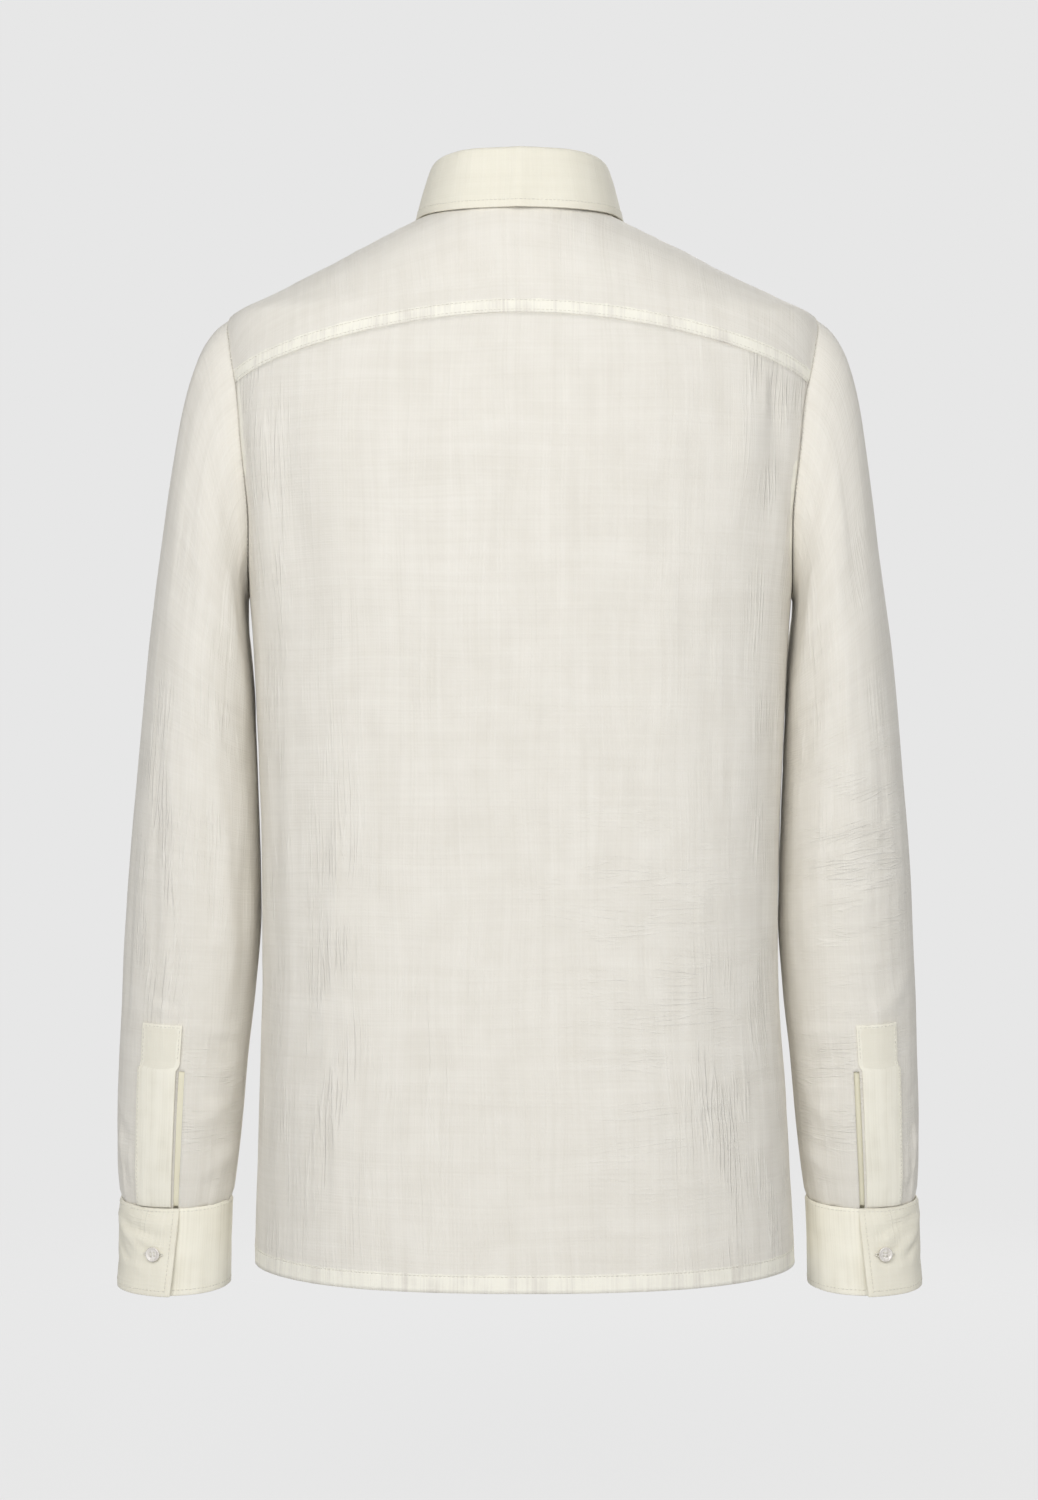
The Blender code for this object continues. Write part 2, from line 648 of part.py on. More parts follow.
def make_sleeve(side, mirrored, material):
    """One sleeve, with its slit open at the wrist."""
    turns = sleeve_turns()
    shares = np.concatenate((np.linspace(0, SLIT_TOP, SLEEVE_ROWS - SLIT_ROWS + 1),
                             np.linspace(SLIT_TOP, 1, SLIT_ROWS + 1)[1:]))
    slit = int(np.argmin(np.abs(turns - (SLIT_TURN - SLIT_HALF))))
    points = sleeve_cloth(turns[:, None], shares[None, :])
    first_open = SLEEVE_ROWS - SLIT_ROWS
    make_cloth(f"sleeve_{side}", points, CLOTH, material, "sleeve", mirrored, round_about=True,
               left_out=lambda i, j: i == slit and j >= first_open)


def make_wrist_strips(side, mirrored, material):
    """The placket on top of the slit's outer edge, and the underlap inside its other edge."""
    across = np.linspace(*PLACKET_TURNS, 4)[:, None]
    along = np.linspace(PLACKET_TOP, STRIP_END, 9)[None, :]
    over = sleeve_cloth(across, along, out=CLOTH / 2 + LAP_GAP + STRIP / 2)
    make_cloth(f"placket_{side}", over, STRIP, material, "sleeve", mirrored)
    across = np.linspace(*UNDERLAP_TURNS, 3)[:, None]
    along = np.linspace(SLIT_TOP, STRIP_END, 7)[None, :]
    under = sleeve_cloth(across, along, out=-(CLOTH / 2 + UNDERLAP_GAP + STRIP / 2))
    make_cloth(f"underlap_{side}", under, STRIP, material, "sleeve", mirrored)


def cuff_point(turn, drop, out=0.0):
    """Place on the left cuff's band, which lifts over itself towards its lapped end."""
    turn, drop = np.broadcast_arrays(np.asarray(turn, float), np.asarray(drop, float))
    lift = CUFF_LIFT * smooth_step((turn - CUFF_LIFT_TURN) / CUFF_LIFT_SPAN)
    corner = smooth_step((turn - CUFF_FLARE_TURN) / CUFF_FLARE_SPAN) * smooth_step(drop * 1.5 - 0.5)
    return ring_point(CUFF_RINGS, (0.0, 1.0), turn, drop, size=lift + CUFF_FLARE * corner + out)


def make_cuff(side, mirrored, material, button_material):
    """One cuff and its button."""
    drop = np.linspace(0, 1, CUFF_ROWS + 1)[None, :]
    end = CUFF_END_TOP + (CUFF_END_BOTTOM - CUFF_END_TOP) * drop
    share = np.linspace(0, 1, CUFF_COLUMNS + 1)[:, None]
    points = cuff_point(CUFF_START + (end - CUFF_START) * share, drop)
    make_cloth(f"cuff_{side}", points, DOUBLED, material, "sleeve", mirrored)
    turn = 360 + CUFF_BUTTON_TURN
    out = DOUBLED / 2 + BUTTON_SEAT + BUTTON_THICK / 2
    round_about = cuff_point(turn + 2, CUFF_BUTTON_DROP) - cuff_point(turn - 2, CUFF_BUTTON_DROP)
    downwards = cuff_point(turn, 0.6) - cuff_point(turn, 0.4)
    axis = unit(np.cross(downwards, round_about))
    middle = cuff_point(turn, CUFF_BUTTON_DROP) + axis * out
    make_button(f"button_cuff_{side}", middle, axis, button_material, "sleeve", mirrored)


def post_point(part, across):
    """Place on the collar's fold line or lower edge."""
    share = np.abs(across)
    x, y, z = (read_rings(COLLAR_POSTS, "across", f"{part}_{axis}", share) for axis in "xyz")
    return np.stack((x * np.where(across < 0, -1, 1), y, z), axis=-1)


def inwards(points):
    """Level directions towards the neck's middle."""
    level = points * (-1, -1, 0)
    return unit(level)


def stand_grid(across, rise):
    """Places on the collar stand, by their place round the neck and their share of its height."""
    across, rise = np.broadcast_arrays(across, rise)
    low = body_point(across, NECK)
    low = low + inwards(low) * STAND_SET_IN + (0, 0, STAND_RISE)
    fold = post_point("fold", across)
    high = fold + inwards(fold) * STAND_IN - (0, 0, STAND_DOWN)
    points = low + (high - low) * rise[..., None]
    ease = smooth_step((np.abs(across) - STAND_LAP) / 0.1)
    lap = -np.sign(across) * ease * (DOUBLED + LAP_GAP) / 2
    return points - inwards(points) * lap[..., None]


def fall_grid():
    """The turned-down collar, from its roll over the fold line to its lower edge."""
    across = np.linspace(-FALL_END, FALL_END, FALL_COLUMNS + 1)
    fold, edge = post_point("fold", across), post_point("edge", across)
    roll = fold + inwards(fold) * ROLL_IN - (0, 0, ROLL_DOWN)
    rows = [roll, fold + inwards(fold) * ROLL_IN * 0.35 + (0, 0, 0.5)]
    for share in np.linspace(0.04, 1, FALL_ROWS):
        bulge = -inwards(fold) * FALL_BULGE * sin(pi * share ** 0.6)
        rows.append(fold + (edge - fold) * share + bulge)
    return np.stack(rows, axis=1)[:, ::-1]


def make_collar(material, button_material):
    """Stand, fall and the button at the neck."""
    across = np.linspace(-STAND_END, STAND_END, STAND_COLUMNS + 1)[:, None]
    stand = stand_grid(across, np.linspace(0, 1, 4)[None, :])
    make_cloth("collar_stand", stand, DOUBLED, material)
    make_cloth("collar_fall", fall_grid(), DOUBLED, material)
    middle = stand_grid(np.array(-1.0), np.array(0.5))
    around = stand_grid(np.array(-0.98), np.array(0.5)) - stand_grid(np.array(-1.02), np.array(0.5))
    upwards = stand_grid(np.array(-1.0), np.array(0.7)) - stand_grid(np.array(-1.0), np.array(0.3))
    axis = unit(np.cross(upwards, around))
    middle = middle + axis * (DOUBLED / 2 + BUTTON_SEAT + BUTTON_THICK / 2)
    make_button("button_stand", middle, axis, button_material)


def make_front_buttons(material):
    """The row of buttons down the centre of the lapped front."""
    for count in range(FRONT_BUTTONS):
        height = FIRST_BUTTON - count * BUTTON_PITCH
        out = CLOTH / 2 + BUTTON_SEAT + BUTTON_THICK / 2
        on_cloth = body_cloth(np.array(-1.0), np.array(height), lap_side=-1)
        middle = body_cloth(np.array(-1.0), np.array(height), lap_side=-1, out=out)
        make_button(f"button_front_{count + 1}", middle, unit(middle - on_cloth), material)


def main():
    """Build the shirt, piece by piece."""
    clear_scene()
    gauze = make_material("gauze", GAUZE_COLOUR, 0.9)
    doubled = make_material("doubled_gauze", DOUBLED_COLOUR, 0.88)
    pearl = make_material("button", BUTTON_COLOUR, 0.3)
    make_cloth("back", back_grid(), CLOTH, gauze)
    make_cloth("yoke", yoke_grid(), CLOTH, gauze)
    make_cloth("front_left", front_grid(1), CLOTH, gauze)
    make_cloth("front_right", front_grid(-1), CLOTH, gauze)
    make_collar(doubled, pearl)
    for side, mirrored in (("left", False), ("right", True)):
        make_sleeve(side, mirrored, gauze)
        make_wrist_strips(side, mirrored, doubled)
        make_cuff(side, mirrored, doubled, pearl)
    make_front_buttons(pearl)


main()
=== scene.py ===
"""Dresses the crinkled gauze shirt: thin creased cloth on each solid, its sewing and its buttons.

The body cloth is one surface in chart form. "Across" runs from the centre back, 0, round the
wearer's left side seam, 0.5, to the centre front, 1, and the right half has negative values.
"Height" names a loop round the body by its height at the side. Sizes are in millimetres until a
mesh is made. +Z is up, the wearer faces -Y, and the wearer's left side is +X.
"""

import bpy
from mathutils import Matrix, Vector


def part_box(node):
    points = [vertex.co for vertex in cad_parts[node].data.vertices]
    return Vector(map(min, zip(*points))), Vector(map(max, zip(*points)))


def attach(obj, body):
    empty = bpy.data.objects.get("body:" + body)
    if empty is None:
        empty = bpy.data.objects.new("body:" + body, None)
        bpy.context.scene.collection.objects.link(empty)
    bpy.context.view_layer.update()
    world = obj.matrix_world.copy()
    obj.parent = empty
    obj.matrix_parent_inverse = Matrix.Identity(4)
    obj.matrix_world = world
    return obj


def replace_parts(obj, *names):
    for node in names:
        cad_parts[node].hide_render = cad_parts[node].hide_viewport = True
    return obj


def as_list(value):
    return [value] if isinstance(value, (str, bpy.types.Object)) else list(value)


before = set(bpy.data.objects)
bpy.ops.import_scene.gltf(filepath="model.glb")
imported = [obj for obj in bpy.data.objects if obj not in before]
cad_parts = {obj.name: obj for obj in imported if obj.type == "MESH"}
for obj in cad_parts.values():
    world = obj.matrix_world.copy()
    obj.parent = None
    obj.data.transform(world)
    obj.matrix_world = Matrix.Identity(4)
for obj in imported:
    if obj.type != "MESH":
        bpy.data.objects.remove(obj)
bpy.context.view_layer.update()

import logging
from collections.abc import Iterable
from dataclasses import dataclass
from enum import Enum
from math import pi, radians
from typing import NamedTuple

import bmesh
import bpy
import numpy as np
from mathutils import Matrix, Vector
from mathutils.kdtree import KDTree

logging.basicConfig(level=logging.INFO, format="%(message)s")
LOG = logging.getLogger("shirt")
MM = 0.001
BODY = "root"
Array = np.ndarray


# Small sums that several pieces share

def smooth_step(value: Array) -> Array:
    """Ease from 0 to 1."""
    value = np.clip(value, 0.0, 1.0)
    return value * value * (3 - 2 * value)


def fade(value: Array) -> Array:
    """Ease from 1 to 0."""
    return 1 - smooth_step(value)


def join(*parts: Array) -> Array:
    """Arrays and single numbers side by side, along a new last direction."""
    return np.stack(np.broadcast_arrays(*parts), axis=-1)


def unit(vectors: Array) -> Array:
    """The same directions, one long."""
    return vectors / np.linalg.norm(vectors, axis=-1, keepdims=True)


def read_curve(keys: Iterable[float], values: Iterable[float], at: Array) -> Array:
    """Read a smooth curve through points that never overshoots them.

    Args:
        keys: where the points lie, rising.
        values: their heights.
        at: where to read.

    Returns:
        The heights there.
    """
    keys, values = np.asarray(keys, float), np.asarray(values, float)
    at = np.clip(np.asarray(at, float), keys[0], keys[-1])
    steps = np.diff(keys)
    slopes = np.diff(values) / steps
    product, total = slopes[:-1] * slopes[1:], slopes[:-1] + slopes[1:]
    inner = np.where(product > 0, 2 * product / np.where(total == 0, 1, total), 0.0)
    tangents = np.concatenate(([slopes[0]], inner, [slopes[-1]]))
    index = np.clip(np.searchsorted(keys, at, side="right") - 1, 0, len(steps) - 1)
    step, u = steps[index], (at - keys[index]) / steps[index]
    return ((1 + 2 * u) * (1 - u) ** 2 * values[index] + u * (1 - u) ** 2 * step * tangents[index]
            + u * u * (3 - 2 * u) * values[index + 1]
            + u * u * (u - 1) * step * tangents[index + 1])


def read_table(rows: tuple, key: str, name: str, at: Array) -> Array:
    """Read one column of a table against another."""
    return read_curve([getattr(row, key) for row in rows], [getattr(row, name) for row in rows], at)


def rows(kind: type, *table: tuple[float, ...]) -> tuple:
    """Make one thing of a kind from each row of numbers."""
    return tuple(kind(*row) for row in table)


def rumple(across: Array, up: Array, cell_across: float, cell_up: float, seed: int) -> Array:
    """Smooth unevenness from -1 to 1.

    Args:
        across, up: places on the flat cloth.
        cell_across, cell_up: size of its hills in both directions.
        seed: which of many.

    Returns:
        Its height at each place.
    """
    size = 97
    lattice = np.random.default_rng(seed).uniform(-1, 1, (size, size))
    a, b = across / cell_across + 31.7, up / cell_up + 53.3
    i, j = np.floor(a).astype(int), np.floor(b).astype(int)
    s, t = smooth_step(a - i), smooth_step(b - j)
    low = lattice[i % size, j % size] * (1 - s) + lattice[(i + 1) % size, j % size] * s
    high = lattice[i % size, (j + 1) % size] * (1 - s) + lattice[(i + 1) % size, (j + 1) % size] * s
    return low * (1 - t) + high * t


def spots(x: Array, z: Array, *table: tuple[float, ...]) -> Array:
    """Soft oval patches: each row says where, how wide, how tall and, if not 1, how strong."""
    return sum(np.exp(-((x - row[0]) / row[2]) ** 2 - ((z - row[1]) / row[3]) ** 2)
               * (row[4] if len(row) > 4 else 1.0) for row in table)


class Crease(NamedTuple):
    """One soft ridge on the cloth, or a trough where its rise is negative."""
    start: tuple[float, float]
    end: tuple[float, float]
    rise: float
    spread: float
    bow: float = 0.0    # how far its middle stands to one side


def crease_rows(*table: tuple[float, ...]) -> tuple[Crease, ...]:
    """Creases from rows of numbers: both ends, rise, spread and, where it has one, bow."""
    return tuple(Crease(row[:2], row[2:4], *row[4:]) for row in table)


def relief(creases: Iterable[Crease], across: Array, up: Array) -> Array:
    """Height that some creases add.

    Args:
        creases: the creases, in the same coordinates as the places.
        across, up: the places.

    Returns:
        The height at each place.
    """
    total = np.zeros(np.broadcast(across, up).shape)
    for crease in creases:
        dx, dy = crease.end[0] - crease.start[0], crease.end[1] - crease.start[1]
        length = np.hypot(dx, dy)
        along = ((across - crease.start[0]) * dx + (up - crease.start[1]) * dy) / length ** 2
        held = np.clip(along, 0, 1)
        bow = crease.bow * 4 * held * (1 - held)
        miss_x = across - crease.start[0] - held * dx + bow * dy / length
        miss_y = up - crease.start[1] - held * dy - bow * dx / length
        spread = crease.spread * (0.75 + 0.5 * held)
        taper = np.sin(np.clip(0.08 + along * 0.84, 0, 1) * pi)
        total += crease.rise * np.exp(-(np.hypot(miss_x, miss_y) / spread) ** 2) * taper
    return total


# The shirt's form

class Ring(NamedTuple):
    """One loop round the body."""
    height: float
    half_width: float
    front: float
    back: float
    squareness: float
    front_dip: float
    side_rise: float


class Sway(NamedTuple):
    """How far body and sleeves stand off the middle, to the wearer's right."""
    z: float
    body: float
    sleeve: float


class TubeRing(NamedTuple):
    """One loop of a sleeve or cuff, across from its outer to its inner side."""
    outer_x: float
    outer_z: float
    inner_x: float
    inner_z: float
    middle_y: float
    half_depth: float
    back_drop: float


class CollarPost(NamedTuple):
    """The collar's fold line and lower edge at one place round the neck."""
    across: float
    fold_x: float
    fold_y: float
    fold_z: float
    edge_x: float
    edge_y: float
    edge_z: float


SWAYS = rows(
    Sway, (-740, 4.6, 0.0), (-611, 2.8, 0.0), (-520, 1.4, 0.3), (-450, 0.9, 0.6), (-266, 0.9, 0.9),
    (-160, 1.5, 1.5), (-100, 2.4, 2.4), (-73, 2.7, 2.7), (-40, 1.4, 1.4), (-15, 0.3, 0.3),
    (40, 0.2, 0.2))
HEM, UNDERARM, SHOULDER_TIP, NECK = -724.0, -266.0, -73.0, -4.0
ARMHOLE_MIDDLE, ARMHOLE_REACH = (SHOULDER_TIP + UNDERARM) / 2, (SHOULDER_TIP - UNDERARM) / 2
ARMHOLE_INSET = 0.088
BACK_CORNER, FRONT_CORNER = 60, 30
YOKE_DROP, NECK_CORNER, BACK_NECK = 41.5, 0.62, 0.42
FRONT_LAP, LAP_SPREAD, LAP_STEP = 15.0, 70.0, 1.8
HALF_LOOP = 500.0      # of the flat cloth, round half the body


def sway(points: Array, part: str, mirrored: bool = False) -> Array:
    """Put finished places on their side of the shirt and lean them as it leans."""
    places = points * ((-1, 1, 1) if mirrored else (1, 1, 1))
    places[..., 0] -= read_table(SWAYS, "z", part, places[..., 2])
    return places


class BodyForm:
    """The body's surface in chart form."""

    rings = rows(
        Ring, (-724, 185.0, 120, 127, 2.25, 0, 3), (-611, 180.6, 119, 121, 2.35, 0, 0),
        (-520, 176.6, 120, 115, 2.45, 0, 0), (-450, 177.2, 121, 112, 2.50, 0, 0),
        (-350, 181.0, 124, 110, 2.50, 0, 0), (-266, 185.8, 123, 109, 2.45, 0, 0),
        (-218, 190.5, 118, 107, 2.40, 2, 0), (-160, 200.0, 109, 103, 2.35, 9, 0),
        (-122, 203.5, 100, 98, 2.28, 20, 0), (-100, 205.5, 94, 94, 2.20, 30, 0),
        (-85, 205.0, 90, 90, 2.15, 36, 0), (-73, 201.0, 86, 87, 2.10, 41, 0),
        (-60, 177.0, 81, 83, 2.08, 46, 0), (-40, 136.0, 75, 78, 2.05, 51, 0),
        (-20, 96.0, 70, 71, 2.05, 55, 0), (-4, 64.0, 66, 64, 2.05, 58, 0))

    def size(self, name: str, height: Array) -> Array:
        """One size of the loops at some heights."""
        return read_table(self.rings, "height", name, height)

    @staticmethod
    def angle(share: Array, wide: Array, deep: Array, power: Array) -> Array:
        """Angle at which a share of a quarter loop's length is reached, from its deep end."""
        angles = (pi / 2) * smooth_step(np.linspace(0.0, 1.0, 49))
        x = wide[..., None] * np.sin(angles) ** power[..., None]
        y = deep[..., None] * np.cos(angles) ** power[..., None]
        lengths = np.cumsum(np.hypot(np.diff(x, axis=-1), np.diff(y, axis=-1)), axis=-1)
        lengths = np.concatenate((np.zeros(lengths.shape[:-1] + (1,)), lengths), axis=-1)
        lengths /= lengths[..., -1:]
        below = np.clip((lengths <= share[..., None]).sum(-1) - 1, 0, len(angles) - 2)
        low = np.take_along_axis(lengths, below[..., None], -1)[..., 0]
        high = np.take_along_axis(lengths, below[..., None] + 1, -1)[..., 0]
        part = np.clip((share - low) / (high - low), 0, 1)
        return angles[below] * (1 - part) + angles[below + 1] * part

    def point(self, across: Array, height: Array) -> Array:
        """Place of the body cloth, without its folds."""
        across, height = np.broadcast_arrays(np.asarray(across, float), np.asarray(height, float))
        share = np.abs(across)
        behind = share <= 0.5
        wide = self.size("half_width", height)
        deep = np.where(behind, self.size("back", height), self.size("front", height))
        power = 2 / self.size("squareness", height)
        from_end = np.where(behind, share * 2, (1 - share) * 2)
        angle = self.angle(np.abs(from_end), wide, deep, power)
        x = wide * np.sin(angle) ** power * np.where(from_end < 0, -1, 1) * np.sign(across)
        y = deep * np.cos(angle) ** power * np.where(behind, 1, -1)
        dip = np.where(behind, 0.0, self.size("front_dip", height) * np.cos(angle) ** 2)
        rise = self.size("side_rise", height) * np.sin(angle) ** 4
        return join(x, y, height - dip + rise)

    def normal(self, across: Array, height: Array) -> Array:
        """Outward direction of the body cloth."""
        d_across = self.point(across + 0.004, height) - self.point(across - 0.004, height)
        d_height = self.point(across, height + 1.5) - self.point(across, height - 1.5)
        return unit(np.cross(d_height, d_across))

    def half_loop(self, height: float) -> float:
        """Length of half the loop at a height."""
        points = self.point(np.linspace(0, 1, 41), height)
        return float(np.linalg.norm(np.diff(points, axis=0), axis=-1).sum())

    @staticmethod
    def armhole(turn: Array, behind: bool) -> Array:
        """Chart place of the armhole, by degrees from the shoulder tip, on the wearer's left."""
        height = ARMHOLE_MIDDLE + ARMHOLE_REACH * np.cos(np.radians(turn))
        inset = ARMHOLE_INSET * np.sin(np.radians(turn)) * (1 if behind else -1)
        return join(0.5 - inset, height)

    def yoke_seam(self, share: Array) -> Array:
        """Chart place of the back yoke seam, from the centre, 0, to the left armhole, 1."""
        corner = self.armhole(np.asarray(BACK_CORNER), True)
        height = corner[1] + YOKE_DROP * (1 - np.abs(share) ** 1.9)
        return join(corner[0] * share, height)

    @staticmethod
    def hold(across: Array, height: Array) -> Array:
        """Share of a fold that is left near side seams and armholes, where the cloth is held."""
        up = np.clip((height - ARMHOLE_MIDDLE) / ARMHOLE_REACH, -1, 1)
        inset = ARMHOLE_INSET * np.sqrt(1 - up * up)
        return smooth_step((np.abs(np.abs(across) - 0.5) - inset) / 0.035)

    @staticmethod
    def front_lap(points: Array, side: int) -> Array:
        """How far a front's edge is moved out, or in, where one front laps over the other."""
        from_centre = points[..., 0] * side + FRONT_LAP
        return -side * fade((from_centre - 2 * FRONT_LAP) / LAP_SPREAD) * LAP_STEP / 2


class BodyDrape:
    """The creases of the body's back and front, in x and z."""

    back = crease_rows(
        (184, -122, 160, -285, 3.2, 13), (158, -140, 140, -330, -2.0, 14),
        (-171, -112, -172, -185, -2.6, 7), (-151, -130, -150, -215, 1.8, 11),
        (-176, -190, -172, -262, 2.0, 8), (118, -420, 128, -700, 1.6, 16),
        (-132, -470, -140, -690, -1.8, 16), (30, -380, 24, -690, 1.2, 22),
        (-45, -480, -50, -700, 1.3, 20), (168, -150, 158, -262, -1.0, 4),
        (-168, -118, -171, -150, -1.2, 3, 2), (-163, -120, -165, -148, 1.0, 3),
        (118, -336, 122, -540, 0.8, 3.2, 2), (156, -330, 160, -600, 0.9, 5, -3),
        (163, -350, 166, -560, -0.7, 4), (120, -505, 128, -700, -0.9, 4.5, 4),
        (133, -520, 126, -690, 0.8, 4, -3), (54, -540, 52, -700, -0.6, 5),
        (-50, -540, -54, -700, -0.6, 4, 3), (-52, -460, -150, -470, 0.5, 3, 3),
        (-70, -520, -145, -512, 0.6, 3.5, -3), (-95, -556, -152, -566, -0.6, 4, 2),
        (-100, -585, -150, -592, 0.7, 4, 2), (-98, -618, -148, -612, -0.7, 4, -3),
        (-90, -650, -150, -660, 0.6, 4, 3), (-60, -600, -96, -640, 0.5, 5),
        (100, -250, 70, -330, 0.6, 9), (-100, -260, -80, -380, 0.6, 10),
        (10, -160, 6, -330, 0.5, 12))
    front = crease_rows(
        (150, -175, 118, -330, 3.0, 13), (-148, -180, -112, -345, 3.0, 14),
        (96, -420, 104, -700, 1.8, 18), (-90, -430, -100, -705, 1.9, 18),
        (52, -130, 66, -300, -1.4, 14), (140, -230, 90, -300, -0.9, 7, 4),
        (-138, -235, -86, -310, -0.9, 7, -4), (120, -520, 112, -700, 0.8, 5, 3),
        (-130, -500, -122, -690, 0.8, 5, -3), (60, -560, 52, -700, -0.7, 6),
        (-62, -580, -56, -705, -0.7, 5), (150, -560, 100, -575, 0.6, 4, 3),
        (-152, -600, -96, -590, 0.6, 4, -3), (30, -150, 70, -190, 0.7, 8, 3),
        (-34, -152, -72, -186, 0.7, 8, -3), (22, -300, 40, -420, 0.6, 9),
        (-24, -330, -44, -470, 0.6, 10))

    def lift(self, points: Array) -> Array:
        """Height of the creases at some places of the body."""
        total = np.zeros(points.shape[:-1])
        x, y, z = points[..., 0], points[..., 1], points[..., 2]
        for face, creases in ((1, self.back), (-1, self.front)):
            total += smooth_step(y * face / 20) * relief(creases, x, z)
        return total


# Cloth

class Finish(Enum):
    """Which material a piece of cloth is given."""
    GAUZE = "gauze"
    DOUBLED = "doubled_gauze"
    # gauze darkened and yellowed with painted shade, for the underlap seen inside the slit
    SHADED = "gauze_inside_slit"
    THREAD = "sewing_thread"
    BUTTON = "button"


class Edge(Enum):
    """One of the four edges of a piece's grid."""
    LOW = "low"
    HIGH = "high"
    START = "start"
    END = "end"

    def at(self, along: Array, inset: Array) -> tuple[Array, Array]:
        """Grid place at a share along this edge and a share in from it."""
        along, inset = np.broadcast_arrays(np.asarray(along, float), np.asarray(inset, float))
        return {Edge.LOW: (along, inset), Edge.HIGH: (along, 1 - inset),
                Edge.START: (inset, along), Edge.END: (1 - inset, along)}[self]


class Strip(NamedTuple):
    """A doubled strip of cloth along a share of one edge."""
    edge: Edge
    width: float
    start: float = 0.0
    end: float = 1.0


